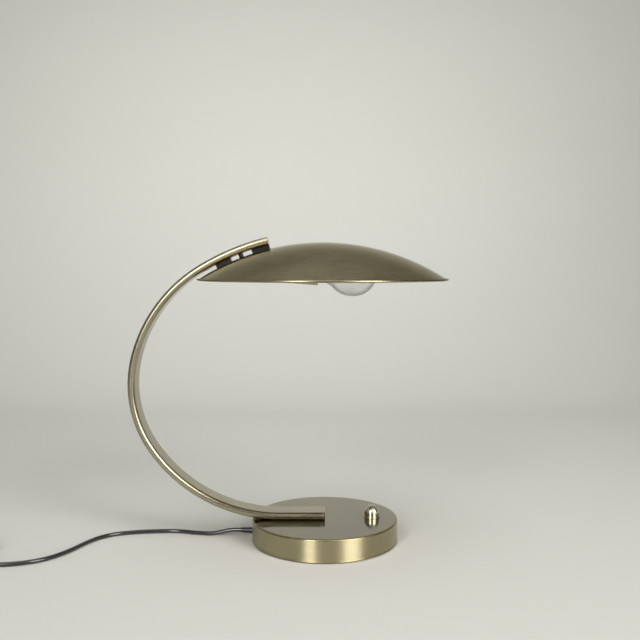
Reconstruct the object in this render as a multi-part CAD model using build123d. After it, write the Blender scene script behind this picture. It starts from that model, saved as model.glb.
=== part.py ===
from build123d import *
import math
import os

os.makedirs("parts", exist_ok=True)

# Arc table lamp, in millimetres. +Z is up and the table is at zero.
# The origin is the centre of the round base's underside.
# The arm and the shade lie in the XZ plane: the arm bows towards -X, the switch is towards +X.

# Running and seating clearances
RUN_GAP = 0.3
CURVED_GAP = 0.15
SEAT_GAP = 0.1
THREAD_GAP = 0.05
OVERRUN = 2.0

# Round base
BASE_DIAMETER = 190.0
BASE_HEIGHT = 30.0
SHELL_WALL = 1.5
SHELL_EDGE_RADIUS = 1.8
SHELL_LIFT = 1.2
SHELL_BEAD_RADIUS = 0.8
SHELL_BEAD_OUT = 0.4
SHELL_BEAD_RISE = 0.9
PAD_THICKNESS = 2.0
PAD_INSET = 3.0
PLATE_THICKNESS = 1.5
BALLAST_THICKNESS = 14.0
BALLAST_CLEARANCE = 1.2
BOSS_RADIUS = 7.0
BOSS_CIRCLE_RADIUS = 78.0
BOSS_ANGLES = (30.0, 150.0, 270.0)
PLATE_SCREW_RADIUS = 2.0
PLATE_SCREW_HEAD_RADIUS = 3.8
PLATE_SCREW_LENGTH = 10.0

# Flat oval arm, bent in four tangent arcs; radii are to the middle of the tube
ARM_WIDTH = 35.0
ARM_THICKNESS = 9.5
ARM_WALL = 1.2
ARM_FOOT_LENGTH = 58.6
ARM_FOOT_RADIUS = 200.45
ARM_BACK_RADIUS = 145.5
ARM_SHOULDER_RADIUS = 189.35
ARM_END_RADIUS = 301.75
FOOT_ARC_END = 214.0
BACK_ARC_END = 166.0
SHOULDER_ARC_END = 121.6
ARM_TIP_ANGLE = 103.5
ARM_CAP_THICKNESS = 1.2
ARM_PLUG_DEPTH = 10.0

# Fixing of the arm to the base
ARM_SCREW_RADIUS = 3.0
ARM_SCREW_HEAD_ACROSS = 10.0
ARM_SCREW_HEAD_HEIGHT = 4.0
ARM_SCREW_FIRST = 14.0
ARM_SCREW_PITCH = 18.0
ARM_WASHER_RADIUS = 6.2
ARM_WASHER_THICKNESS = 1.2
COUNTERBORE_RADIUS = 8.0
COUNTERBORE_DEPTH = 6.0
INSERT_LENGTH = 30.0
INSERT_WIDTH = 22.0
INSERT_THICKNESS = 5.0
CABLE_HOLE_FROM_END = 47.0
GROMMET_RADIUS = 4.8
GROMMET_BORE = 3.4
GROMMET_FLANGE_RADIUS = 6.4
GROMMET_FLANGE = 1.2

# Slide that carries the shade in the slot under the arm's end
# The lengths named from the tip run along the arm's middle line
SLOT_WIDTH = 10.6
SLOT_LENGTH = 90.0
SHADE_GAP = 5.2
STOP_LENGTH = 23.7
SLIDER_FROM_TIP = 53.7
SLIDER_LENGTH = 21.1
SLIDER_WIDTH = 16.0
SLIDER_NECK_SHORTER = 2.1
NIPPLE_FROM_TIP = 64.3
SPACER_FROM_TIP = 39.5
SPACER_RADIUS = 3.0
SLIDE_NUT_FROM_TIP = 34.2
SLIDE_NUT_LENGTH = 42.1
SLIDE_NUT_WIDTH = 20.0
SLIDE_NUT_THICKNESS = 4.5
NIPPLE_RADIUS = 5.0
NIPPLE_BORE = 3.8
NIPPLE_TAIL = 1.5
HEX_ACROSS = 14.0
HEX_THICKNESS = 3.0
SPACER_SCREW_RADIUS = 2.0
SPACER_SCREW_HEAD_RADIUS = 3.8
SPACER_SCREW_HEAD = 2.4
STOP_SCREW_RADIUS = 1.5
STOP_SCREW_HEAD_RADIUS = 2.8
STOP_SCREW_HEAD = 1.8

# Shallow dome shade, a cap of a sphere about the slide's own centre
SHADE_WALL = 1.0
SHADE_RIM_RADIUS = 160.0
RIM_BEAD_RADIUS = 1.5

# Bracket, lamp holder and bulb; the holder points to the right and a little down
LAMP_TILT = 5.0
GLOBE_OFFSET = 40.0
GLOBE_DROP = 39.8
BRACKET_THICKNESS = 2.0
BRACKET_WIDTH = 16.0
BRACKET_BELOW_AXIS = 10.0
BRACKET_FROM_TIP = 78.5
BULB_RADIUS = 30.0
BULB_BAND = 4.0
BULB_SHOULDER = 25.0
BULB_NECK_RADIUS = 13.0
BULB_NECK_BEND = 33.5
BULB_NECK_BEND_RADIUS = 16.4
BULB_WALL = 0.8
BULB_CAP_FRONT = 48.0
BULB_GLASS_DEPTH = 6.0
BULB_CAP_RADIUS = 13.1
BULB_CAP_LENGTH = 24.0
BULB_CAP_WALL = 0.5
BULB_CAP_END_RADIUS = 9.0
BULB_BUTTON_RADIUS = 4.8
BULB_BUTTON_HEIGHT = 2.6
STEM_RADIUS = 3.0
STEM_TIP_RADIUS = 1.6
STEM_LENGTH = 36.0
SUPPORT_WIRE_RADIUS = 0.4
FILAMENT_RADIUS = 0.3
FILAMENT_SPAN = 22.0
FILAMENT_ZIGZAG = 5.0
FILAMENT_LEGS = 6
HOLDER_RADIUS = 20.0
HOLDER_FRONT = 45.0
HOLDER_SKIRT_LENGTH = 34.0
HOLDER_CAP_LENGTH = 18.0
HOLDER_NECK_RADIUS = 9.0
HOLDER_WALL = 1.0
HOLDER_MOUTH_RADIUS = 15.2
HOLDER_MOUTH_DEPTH = 31.2
THREAD_SLEEVE_WALL = 0.6
THREAD_SLEEVE_LENGTH = 26.0
CERAMIC_RADIUS = 16.9
CERAMIC_THICKNESS = 7.0
CONTACT_WIDTH = 6.0
CONTACT_THICKNESS = 0.6
CONTACT_REACH = 9.0
CONTACT_BEND = 3.0
HOLDER_NIPPLE_LENGTH = 12.0
HOLDER_NIPPLE_START = 103.4

# Push switch
SWITCH_X = 61.7
KNOB_RADIUS = 9.65
KNOB_HEIGHT = 15.5
KNOB_SKIRT = 4.5
KNOB_POCKET_RADIUS = 7.0
KNOB_POCKET_DEPTH = 8.5
SWITCH_TRAVEL = 3.0
COLLAR_WALL = 0.6
COLLAR_FLANGE_WIDTH = 1.3
COLLAR_FLANGE_HEIGHT = 0.9
COLLAR_DEPTH = 8.0
SWITCH_NUT_ACROSS = 27.0
SWITCH_NUT_THICKNESS = 3.0
SWITCH_BODY_RADIUS = 12.5
SWITCH_BODY_HEIGHT = 12.5
SWITCH_SOCKET_DEPTH = 1.5
SPRING_CHAMBER_DEPTH = 4.0
PLUNGER_RADIUS = 3.0
PLUNGER_LENGTH = 22.0
PLUNGER_GRIP = 6.0
SPRING_RADIUS = 5.6
SPRING_WIRE = 0.8
SPRING_TURNS = 5
SWITCH_POCKET_RADIUS = 16.5
TAB_WIDTH = 4.0
TAB_LENGTH = 4.0
TAB_THICKNESS = 0.8
TAB_SPREAD = 10.0
TAB_SETBACK = 5.0

# Wiring inside the lamp
LEAD_RADIUS = 1.1
LEAD_SPREAD = 1.4
LEAD_BEND = 3.5
LEAD_HEIGHT = 9.0
ARM_LEAD_OFFSET = 2.15
ARM_LEAD_END_ANGLE = 123.0
SHADE_LEAD_INSET = 0.8
SHADE_LEAD_DROP = 20.8
SHADE_LEAD_APPROACH = 21.0
BLOCK_X = -6.0
BLOCK_Y = 20.0
BLOCK_LENGTH = 18.0
BLOCK_DEPTH = 17.0
BLOCK_HEIGHT = 10.0
BLOCK_HOLE_RADIUS = 1.3
BLOCK_HOLE_PITCH = 4.2
BLOCK_HOLE_DEPTH = 8.0
SMALL_SCREW_RADIUS = 1.5
SMALL_SCREW_HEAD_RADIUS = 2.8
SMALL_SCREW_HEAD = 1.8
SMALL_SCREW_BITE = 6.0
CLAMP_SETBACK = 18.0
CLAMP_WIDTH = 9.0
CLAMP_WALL = 1.5
CLAMP_EAR = 7.0
CORD_END_SETBACK = 29.0
NEUTRAL_LEAD_Y = 8.0
LEAD_STRAIGHT = 9.0
LIVE_LEAD_ROUTE = [(-44.0, -8.0), (28.0, -8.5), (41.0, -5.0)]

# Mains cord, its strain relief, its coil and its plug
CORD_DIAMETER = 5.5
CORD_EXIT_ANGLE = 175.0
CORD_EXIT_HEIGHT = 9.0
RELIEF_LENGTH = 16.0
RELIEF_COLLAR_RADIUS = 3.9
RELIEF_TIP_RADIUS = 3.2
RELIEF_NECK_RADIUS = 3.5
RELIEF_FLANGE_RADIUS = 5.0
RELIEF_FLANGE = 2.8
CORD_FIRST_RUN = 14.0
COIL_CENTRE_X = -455.0
COIL_CENTRE_Y = -62.6
COIL_OUTER_RADIUS = 42.4
COIL_PITCH = 6.0
COIL_TURNS = 6.25
COIL_TAIL = 22.0
PLUG_WIDTH = 35.0
PLUG_THICKNESS = 13.7
PLUG_FRONT_LENGTH = 14.0
PLUG_TAPER_LENGTH = 20.0
PLUG_SLEEVE_LENGTH = 14.0
PLUG_REAR_WIDTH = 11.0
PLUG_REAR_THICKNESS = 9.5
PLUG_CORNER_RADIUS = 4.0
PIN_RADIUS = 2.0
PIN_ROOT_RADIUS = 1.6
PIN_LENGTH = 19.0
PIN_SPACING = 18.6

# Route of the cord from the strain relief to the coil, chosen by hand
CORD_ROUTE = [
    (-149.0, 12.3, 2.75),
    (-175.0, 17.6, 2.75),
    (-197.0, 24.6, 2.75),
    (-225.0, 23.6, 2.75),
    (-260.0, 18.6, 2.75),
    (-285.0, 8.4, 2.75),
    (-301.0, -9.0, 2.75),
    (-312.0, -33.0, 2.75),
    (-323.0, -60.0, 2.75),
    (-340.0, -84.0, 2.75),
    (-364.0, -98.5, 2.75),
    (-393.0, -104.0, 2.75),
    (-422.0, -105.0, 2.75),
]

# Heights and places that follow from the sizes above
BASE_RADIUS = BASE_DIAMETER / 2
SHELL_INNER_RADIUS = BASE_RADIUS - SHELL_WALL
SHELL_CEILING = BASE_HEIGHT - SHELL_WALL
PLATE_TOP = PAD_THICKNESS + PLATE_THICKNESS
BALLAST_FLOOR = SHELL_CEILING - BALLAST_THICKNESS
ARM_MIDDLE = BASE_HEIGHT + ARM_THICKNESS / 2
ARM_FLOOR = BASE_HEIGHT + ARM_WALL
ARM_CAVITY_WIDTH = ARM_WIDTH - 2 * ARM_WALL
ARM_CAVITY_HEIGHT = ARM_THICKNESS - 2 * ARM_WALL
ARM_FLAT_WIDTH = ARM_WIDTH - ARM_THICKNESS
COUNTERBORE_ROOF = BALLAST_FLOOR + COUNTERBORE_DEPTH
ARM_SCREW_XS = [-ARM_SCREW_FIRST - number * ARM_SCREW_PITCH for number in range(2)]
CABLE_HOLE_X = -CABLE_HOLE_FROM_END
COLLAR_BORE = KNOB_RADIUS + RUN_GAP
COLLAR_RADIUS = COLLAR_BORE + COLLAR_WALL
CORD_RADIUS = CORD_DIAMETER / 2
APEX_ANGLE = 90.0
BEHIND = (-1.0, 0.0, 0.0)
ACROSS = (0.0, 1.0, 0.0)
UP = (0.0, 0.0, 1.0)


def around(centre, radius, degrees, across=0.0):
    """A point at a radius and an angle about a centre in the XZ plane."""
    angle = math.radians(degrees)
    return Vector(centre.X + radius * math.cos(angle), across, centre.Z + radius * math.sin(angle))


# Centres of the arm's four arcs, from the foot to the end that holds the shade
FOOT_CENTRE = Vector(-ARM_FOOT_LENGTH, 0, ARM_MIDDLE + ARM_FOOT_RADIUS)
BACK_CENTRE = around(FOOT_CENTRE, ARM_FOOT_RADIUS - ARM_BACK_RADIUS, FOOT_ARC_END)
SHOULDER_CENTRE = around(BACK_CENTRE, ARM_BACK_RADIUS - ARM_SHOULDER_RADIUS, BACK_ARC_END)
SHADE_CENTRE = around(SHOULDER_CENTRE, ARM_SHOULDER_RADIUS - ARM_END_RADIUS, SHOULDER_ARC_END)

# Radii about the shade's centre, from the arm's top to the bracket under the dome
ARM_UNDERSIDE = ARM_END_RADIUS - ARM_THICKNESS / 2
ARM_CAVITY_FLOOR = ARM_UNDERSIDE + ARM_WALL
SLIDE_NUT_FLOOR = ARM_CAVITY_FLOOR + RUN_GAP
SLIDE_NUT_TOP = SLIDE_NUT_FLOOR + SLIDE_NUT_THICKNESS
SHADE_RADIUS = ARM_UNDERSIDE - SHADE_GAP
SHADE_INSIDE = SHADE_RADIUS - SHADE_WALL
BRACKET_INSIDE = SHADE_INSIDE - BRACKET_THICKNESS


def from_tip(length):
    """The angle about the shade's centre at a length along the arm from its tip."""
    return ARM_TIP_ANGLE + math.degrees(length / ARM_END_RADIUS)


# Angles about the shade's centre of the slot and of the pieces in it
SLOT_END_ANGLE = from_tip(SLOT_LENGTH)
STOP_START_ANGLE = from_tip(STOP_LENGTH)
SLIDER_END_ANGLE = from_tip(SLIDER_FROM_TIP)
SLIDER_START_ANGLE = from_tip(SLIDER_FROM_TIP + SLIDER_LENGTH)
NECK_END_ANGLE = from_tip(SLIDER_FROM_TIP + SLIDER_NECK_SHORTER)
NECK_START_ANGLE = from_tip(SLIDER_FROM_TIP + SLIDER_LENGTH - SLIDER_NECK_SHORTER)
NIPPLE_ANGLE = from_tip(NIPPLE_FROM_TIP)
SPACER_ANGLE = from_tip(SPACER_FROM_TIP)
SLIDE_NUT_END_ANGLE = from_tip(SLIDE_NUT_FROM_TIP)
SLIDE_NUT_START_ANGLE = from_tip(SLIDE_NUT_FROM_TIP + SLIDE_NUT_LENGTH)
BRACKET_START_ANGLE = from_tip(BRACKET_FROM_TIP)
TIP_PLATE_ANGLE = from_tip(ARM_CAP_THICKNESS)
STOP_SCREW_ANGLE = from_tip(ARM_CAP_THICKNESS + ARM_PLUG_DEPTH / 2)


def polar(radius, degrees, across=0.0):
    """A point at a radius and an angle about the shade's centre."""
    return around(SHADE_CENTRE, radius, degrees, across)


def spoke(radius, degrees):
    """A plane square to a spoke of the shade's centre, with its Z axis pointing outwards."""
    origin = polar(radius, degrees)
    return Plane(origin=origin, x_dir=ACROSS, z_dir=origin - SHADE_CENTRE)


def sector(low, high, start, end, width):
    """A block between two radii and two angles about the shade's centre, width mm across."""
    middle = (start + end) / 2
    under = ThreePointArc(polar(low, start), polar(low, middle), polar(low, end))
    over = ThreePointArc(polar(high, end), polar(high, middle), polar(high, start))
    outline = Wire([under, Line(under @ 1, over @ 0), over, Line(over @ 1, under @ 0)])
    return extrude(Face(outline), amount=width / 2, dir=ACROSS, both=True)


def rod(plane, radius, start, end):
    """A round bar along a plane's Z axis, from one height to another."""
    low = min(start, end)
    return plane * Pos(0, 0, low) * Cylinder(
        radius, abs(end - start), align=(Align.CENTER, Align.CENTER, Align.MIN)
    )


def tube(plane, radius, bore, start, end):
    """A round tube along a plane's Z axis."""
    low, high = min(start, end), max(start, end)
    return rod(plane, radius, low, high) - rod(plane, bore, low - OVERRUN, high + OVERRUN)


def hexagon(plane, across, bore, start, end):
    """A hexagonal nut along a plane's Z axis."""
    low, high = min(start, end), max(start, end)
    blank = plane * Pos(0, 0, low) * extrude(
        RegularPolygon(across / 2, 6, major_radius=False), amount=high - low
    )
    return blank - rod(plane, bore, low - OVERRUN, high + OVERRUN)


def turned(points, plane=Plane.XY):
    """A closed outline of (radius, height) points turned about a plane's Z axis."""
    corners = [Vector(radius, 0, height) for radius, height in points]
    return plane * revolve(Face(Polyline(*corners, close=True).wire()), Axis.Z)


def swept(path, radius):
    """A round wire along a path."""
    edges = Wire(path.edges()) if not isinstance(path, Wire) else path
    start = Plane(origin=edges @ 0, z_dir=edges % 0)
    return sweep(start * Circle(radius), path=edges)


def eased(points, share=0.45):
    """A polyline whose corners have arcs as large as their runs allow, and those radii."""
    corners = [Vector(*point) for point in points]
    radii = []
    for before, here, after in zip(corners, corners[1:], corners[2:]):
        turn = math.radians((here - before).get_angle(after - here))
        shorter = min((here - before).length, (after - here).length)
        radii.append(share * shorter / math.tan(turn / 2))
    return FilletPolyline(*corners, radius=radii), radii


def group(pieces):
    """Separate solids kept together in one node."""
    return Compound(children=[solid for piece in pieces for solid in piece.solids()])


nodes = {}


# Base: spun shell, cast ballast, bottom plate with its screws, and felt pad
def base_hole(x, radius, low, high):
    """An upright round hole on the base's X axis."""
    return Pos(x, 0, low) * Cylinder(
        radius, high - low, align=(Align.CENTER, Align.CENTER, Align.MIN)
    )


EXIT_DIRECTION = Vector(1, 0, 0).rotate(Axis.Z, CORD_EXIT_ANGLE)
EXIT_PLANE = Plane(
    origin=EXIT_DIRECTION * BASE_RADIUS + Vector(0, 0, CORD_EXIT_HEIGHT), z_dir=EXIT_DIRECTION
)


def make_base_shell():
    outside = rod(Plane.XY, BASE_RADIUS, SHELL_LIFT, BASE_HEIGHT)
    outside = fillet(outside.edges().sort_by(Axis.Z)[-1], SHELL_EDGE_RADIUS)
    bead = Torus(BASE_RADIUS + SHELL_BEAD_OUT - SHELL_BEAD_RADIUS, SHELL_BEAD_RADIUS)
    outside += Pos(0, 0, SHELL_LIFT + SHELL_BEAD_RISE) * bead
    shell = outside - rod(Plane.XY, SHELL_INNER_RADIUS, 0, SHELL_CEILING)
    for x in ARM_SCREW_XS:
        shell -= base_hole(x, ARM_SCREW_RADIUS + SEAT_GAP, SHELL_CEILING - OVERRUN, BASE_HEIGHT + OVERRUN)
    shell -= base_hole(CABLE_HOLE_X, GROMMET_RADIUS, SHELL_CEILING - OVERRUN, BASE_HEIGHT + OVERRUN)
    shell -= base_hole(SWITCH_X, COLLAR_RADIUS + SEAT_GAP, SHELL_CEILING - OVERRUN, BASE_HEIGHT + OVERRUN)
    return shell - rod(EXIT_PLANE, RELIEF_NECK_RADIUS, -SHELL_WALL - OVERRUN, OVERRUN)


def make_ballast():
    radius = SHELL_INNER_RADIUS - BALLAST_CLEARANCE
    weight = rod(Plane.XY, radius, BALLAST_FLOOR, SHELL_CEILING)
    for angle in BOSS_ANGLES:
        boss = Plane(origin=Vector(BOSS_CIRCLE_RADIUS, 0, 0).rotate(Axis.Z, angle))
        weight += rod(boss, BOSS_RADIUS, PLATE_TOP, BALLAST_FLOOR + OVERRUN)
        hole_top = PLATE_SCREW_LENGTH + PAD_THICKNESS + OVERRUN
        weight -= rod(boss, PLATE_SCREW_RADIUS + THREAD_GAP, 0, hole_top)
    for x in ARM_SCREW_XS:
        weight -= base_hole(x, ARM_SCREW_RADIUS + SEAT_GAP, 0, BASE_HEIGHT)
        weight -= base_hole(x, COUNTERBORE_RADIUS, 0, COUNTERBORE_ROOF)
    weight -= base_hole(CABLE_HOLE_X, GROMMET_FLANGE_RADIUS + RUN_GAP, 0, BASE_HEIGHT)
    return weight - base_hole(SWITCH_X, SWITCH_POCKET_RADIUS, 0, BASE_HEIGHT)


def make_base_plate():
    plate = rod(Plane.XY, SHELL_INNER_RADIUS - RUN_GAP, PAD_THICKNESS, PLATE_TOP)
    for angle in BOSS_ANGLES:
        boss = Plane(origin=Vector(BOSS_CIRCLE_RADIUS, 0, PAD_THICKNESS).rotate(Axis.Z, angle))
        plate -= boss * Cone(
            PLATE_SCREW_HEAD_RADIUS + SEAT_GAP,
            PLATE_SCREW_RADIUS + SEAT_GAP,
            PLATE_THICKNESS,
            align=(Align.CENTER, Align.CENTER, Align.MIN),
        )
    return plate


def make_plate_screws():
    screws = []
    for angle in BOSS_ANGLES:
        boss = Plane(origin=Vector(BOSS_CIRCLE_RADIUS, 0, PAD_THICKNESS).rotate(Axis.Z, angle))
        outline = [
            (0, 0),
            (PLATE_SCREW_HEAD_RADIUS, 0),
            (PLATE_SCREW_RADIUS, PLATE_THICKNESS),
            (PLATE_SCREW_RADIUS, PLATE_SCREW_LENGTH),
            (0, PLATE_SCREW_LENGTH),
        ]
        screws.append(turned(outline, boss))
    return group(screws)


nodes["base_shell"] = make_base_shell()
nodes["ballast_weight"] = make_ballast()
nodes["base_plate"] = make_base_plate()
nodes["base_plate_screws"] = make_plate_screws()
nodes["felt_pad"] = rod(Plane.XY, BASE_RADIUS - PAD_INSET, 0, PAD_THICKNESS)


# Arm: bent flat oval tube with its slot, end caps and the bar that the screws bite into
def arm_path(outwards=0.0, across=0.0, end_angle=ARM_TIP_ANGLE, start_x=-ARM_CAP_THICKNESS):
    """The line along the arm, shifted outwards from the middle of the tube."""
    height = ARM_MIDDLE - outwards
    edges = [Line((start_x, across, height), (-ARM_FOOT_LENGTH, across, height))]
    arcs = [
        (FOOT_CENTRE, ARM_FOOT_RADIUS, 270.0, FOOT_ARC_END),
        (BACK_CENTRE, ARM_BACK_RADIUS, FOOT_ARC_END, BACK_ARC_END),
        (SHOULDER_CENTRE, ARM_SHOULDER_RADIUS, BACK_ARC_END, SHOULDER_ARC_END),
        (SHADE_CENTRE, ARM_END_RADIUS, SHOULDER_ARC_END, end_angle),
    ]
    for centre, radius, start, end in arcs:
        if start <= end:
            continue
        angles = (start, (start + end) / 2, end)
        edges.append(ThreePointArc(*(around(centre, radius + outwards, angle, across) for angle in angles)))
    return Wire(edges)


SLOT_HALF = SLOT_WIDTH / 2


def make_arm_tube():
    path = arm_path(end_angle=TIP_PLATE_ANGLE)
    start = Plane(origin=path @ 0, x_dir=ACROSS, z_dir=BEHIND)
    outside = sweep(start * SlotOverall(ARM_WIDTH, ARM_THICKNESS), path=path)
    inside = sweep(start * SlotOverall(ARM_CAVITY_WIDTH, ARM_CAVITY_HEIGHT), path=path)
    arm = outside - inside
    low, high = ARM_UNDERSIDE - OVERRUN, ARM_CAVITY_FLOOR + OVERRUN
    arm -= sector(low, high, SLOT_END_ANGLE, ARM_TIP_ANGLE, SLOT_WIDTH)
    arm -= rod(spoke(ARM_UNDERSIDE, SLOT_END_ANGLE), SLOT_HALF, -OVERRUN, ARM_WALL + OVERRUN)
    for x in ARM_SCREW_XS:
        arm -= base_hole(x, ARM_SCREW_RADIUS + SEAT_GAP, SHELL_CEILING, ARM_FLOOR + OVERRUN)
    return arm - base_hole(CABLE_HOLE_X, GROMMET_RADIUS, SHELL_CEILING, ARM_FLOOR + OVERRUN)


def make_foot_cap():
    face = Plane(origin=(0, 0, ARM_MIDDLE), x_dir=ACROSS, z_dir=BEHIND)
    cap = extrude(face * SlotOverall(ARM_WIDTH, ARM_THICKNESS), amount=ARM_CAP_THICKNESS)
    plug_size = (ARM_CAVITY_WIDTH - 2 * SEAT_GAP, ARM_CAVITY_HEIGHT - 2 * SEAT_GAP)
    return cap + extrude(face * SlotOverall(*plug_size), amount=ARM_CAP_THICKNESS * 3)


def make_insert():
    start = -ARM_CAP_THICKNESS * 3 - SEAT_GAP
    bar = Pos(start, 0, ARM_FLOOR) * Box(
        INSERT_LENGTH, INSERT_WIDTH, INSERT_THICKNESS, align=(Align.MAX, Align.CENTER, Align.MIN)
    )
    top = ARM_FLOOR + INSERT_THICKNESS + OVERRUN
    for x in ARM_SCREW_XS:
        bar -= base_hole(x, ARM_SCREW_RADIUS + THREAD_GAP, BASE_HEIGHT, top)
    return bar


def make_tip_cap():
    face = Plane(
        origin=polar(ARM_END_RADIUS, TIP_PLATE_ANGLE),
        x_dir=ACROSS,
        z_dir=polar(ARM_END_RADIUS, TIP_PLATE_ANGLE - 90.0) - SHADE_CENTRE,
    )
    cap = extrude(face * SlotOverall(ARM_WIDTH, ARM_THICKNESS), amount=ARM_CAP_THICKNESS)
    plug_angle = from_tip(ARM_CAP_THICKNESS + ARM_PLUG_DEPTH)
    low, high = ARM_CAVITY_FLOOR + SEAT_GAP, ARM_CAVITY_FLOOR + ARM_CAVITY_HEIGHT - SEAT_GAP
    plug = sector(low, high, plug_angle, TIP_PLATE_ANGLE, ARM_FLAT_WIDTH)
    screw_plane = spoke(ARM_UNDERSIDE, STOP_SCREW_ANGLE)
    return cap + plug - rod(screw_plane, STOP_SCREW_RADIUS + THREAD_GAP, -OVERRUN, STOP_SCREW_TOP)


STOP_SCREW_TOP = ARM_WALL + ARM_CAVITY_HEIGHT * 3 / 4
STOP_FLOOR = SHADE_RADIUS + RUN_GAP


def make_end_stop():
    pad = sector(STOP_FLOOR, ARM_UNDERSIDE - THREAD_GAP, STOP_START_ANGLE, ARM_TIP_ANGLE, SLIDER_WIDTH)
    neck_width = SLOT_WIDTH - 2 * SEAT_GAP
    pad += sector(STOP_FLOOR, ARM_CAVITY_FLOOR, STOP_START_ANGLE, TIP_PLATE_ANGLE, neck_width)
    screw_plane = spoke(STOP_FLOOR, STOP_SCREW_ANGLE)
    pad -= rod(screw_plane, STOP_SCREW_RADIUS + SEAT_GAP, -OVERRUN, SHADE_GAP + ARM_WALL + OVERRUN)
    return pad - rod(screw_plane, STOP_SCREW_HEAD_RADIUS + SEAT_GAP, -OVERRUN, STOP_SCREW_HEAD + SEAT_GAP)


def make_stop_screw():
    screw_plane = spoke(STOP_FLOOR, STOP_SCREW_ANGLE)
    head = rod(screw_plane, STOP_SCREW_HEAD_RADIUS, SEAT_GAP, STOP_SCREW_HEAD)
    top = ARM_UNDERSIDE + STOP_SCREW_TOP - STOP_FLOOR - SEAT_GAP
    return head + rod(screw_plane, STOP_SCREW_RADIUS, SEAT_GAP, top)


nodes["arm_tube"] = make_arm_tube()
nodes["arm_foot_cap"] = make_foot_cap()
nodes["arm_foot_insert"] = make_insert()
nodes["arm_tip_cap"] = make_tip_cap()
nodes["slide_end_stop"] = make_end_stop()
nodes["end_stop_screw"] = make_stop_screw()


# Screws and washers that clamp ballast, shell and arm together
def make_arm_screws():
    screws = []
    seat = COUNTERBORE_ROOF - ARM_WASHER_THICKNESS
    for x in ARM_SCREW_XS:
        plane = Plane(origin=(x, 0, seat))
        shank = ARM_FLOOR + INSERT_THICKNESS - seat - SEAT_GAP
        head = hexagon(plane, ARM_SCREW_HEAD_ACROSS, ARM_SCREW_RADIUS, -ARM_SCREW_HEAD_HEIGHT, 0)
        screws.append(head + rod(plane, ARM_SCREW_RADIUS, -ARM_SCREW_HEAD_HEIGHT, shank))
    return group(screws)


def make_arm_washers():
    washers = []
    for x in ARM_SCREW_XS:
        plane = Plane(origin=(x, 0, COUNTERBORE_ROOF))
        bore = ARM_SCREW_RADIUS + SEAT_GAP
        washers.append(tube(plane, ARM_WASHER_RADIUS, bore, -ARM_WASHER_THICKNESS, 0))
    return group(washers)


def make_grommet():
    plane = Plane(origin=(CABLE_HOLE_X, 0, SHELL_CEILING))
    top = ARM_FLOOR - SHELL_CEILING
    flange = tube(plane, GROMMET_FLANGE_RADIUS, GROMMET_BORE, -GROMMET_FLANGE, 0)
    return flange + tube(plane, GROMMET_RADIUS - SEAT_GAP, GROMMET_BORE, -GROMMET_FLANGE, top)


nodes["arm_screws"] = make_arm_screws()
nodes["arm_screw_washers"] = make_arm_washers()
nodes["cable_grommet"] = make_grommet()


# Slide that carries the shade: nut in the tube, block and spacer in the gap, nipple and screws
def make_slide_nut():
    angles = (SLIDE_NUT_START_ANGLE, SLIDE_NUT_END_ANGLE)
    nut = sector(SLIDE_NUT_FLOOR, SLIDE_NUT_TOP, *angles, SLIDE_NUT_WIDTH)
    for radius, angle in ((NIPPLE_RADIUS, NIPPLE_ANGLE), (SPACER_SCREW_RADIUS, SPACER_ANGLE)):
        plane = spoke(SLIDE_NUT_FLOOR, angle)
        nut -= rod(plane, radius + THREAD_GAP, -OVERRUN, SLIDE_NUT_THICKNESS + OVERRUN)
    return nut


def shade_ball(radius):
    """The whole ball that the dome is a cap of."""
    return Pos(SHADE_CENTRE) * Sphere(radius)


def make_slide_block():
    top = ARM_UNDERSIDE - RUN_GAP
    block = sector(SHADE_INSIDE, top, SLIDER_START_ANGLE, SLIDER_END_ANGLE, SLIDER_WIDTH)
    neck_top, neck_width = SLIDE_NUT_FLOOR - THREAD_GAP, SLOT_WIDTH - 2 * RUN_GAP
    block += sector(SHADE_RADIUS, neck_top, NECK_START_ANGLE, NECK_END_ANGLE, neck_width)
    block -= shade_ball(SHADE_RADIUS + SEAT_GAP)
    bore = NIPPLE_RADIUS + SEAT_GAP
    return block - rod(spoke(SHADE_RADIUS, NIPPLE_ANGLE), bore, -OVERRUN, SHADE_GAP + ARM_WALL + OVERRUN)


def make_slide_spacer():
    plane = spoke(SHADE_RADIUS, SPACER_ANGLE)
    height = SLIDE_NUT_FLOOR - SHADE_RADIUS - THREAD_GAP
    sleeve = tube(plane, SPACER_RADIUS, SPACER_SCREW_RADIUS + SEAT_GAP, 0, height)
    return sleeve - shade_ball(SHADE_RADIUS + SEAT_GAP)


def make_nipple():
    tail = BRACKET_INSIDE - HEX_THICKNESS - NIPPLE_TAIL
    return tube(spoke(tail, NIPPLE_ANGLE), NIPPLE_RADIUS, NIPPLE_BORE, 0, SLIDE_NUT_TOP - tail)


def make_nipple_nut():
    plane = spoke(BRACKET_INSIDE, NIPPLE_ANGLE)
    return hexagon(plane, HEX_ACROSS, NIPPLE_RADIUS + THREAD_GAP, -HEX_THICKNESS - SEAT_GAP, -SEAT_GAP)


def make_spacer_screw():
    plane = spoke(BRACKET_INSIDE, SPACER_ANGLE)
    head = rod(plane, SPACER_SCREW_HEAD_RADIUS, -SPACER_SCREW_HEAD, -SEAT_GAP)
    top = SLIDE_NUT_TOP - BRACKET_INSIDE - SEAT_GAP
    return head + rod(plane, SPACER_SCREW_RADIUS, -SPACER_SCREW_HEAD, top)


nodes["slide_nut"] = make_slide_nut()
nodes["slide_block"] = make_slide_block()
nodes["slide_spacer"] = make_slide_spacer()
nodes["cable_nipple"] = make_nipple()
nodes["nipple_nut"] = make_nipple_nut()
nodes["spacer_screw"] = make_spacer_screw()


# Shade: thin spun dome with a rolled bead round its rim
RIM_HEIGHT = math.sqrt(SHADE_RADIUS**2 - SHADE_RIM_RADIUS**2)


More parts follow.
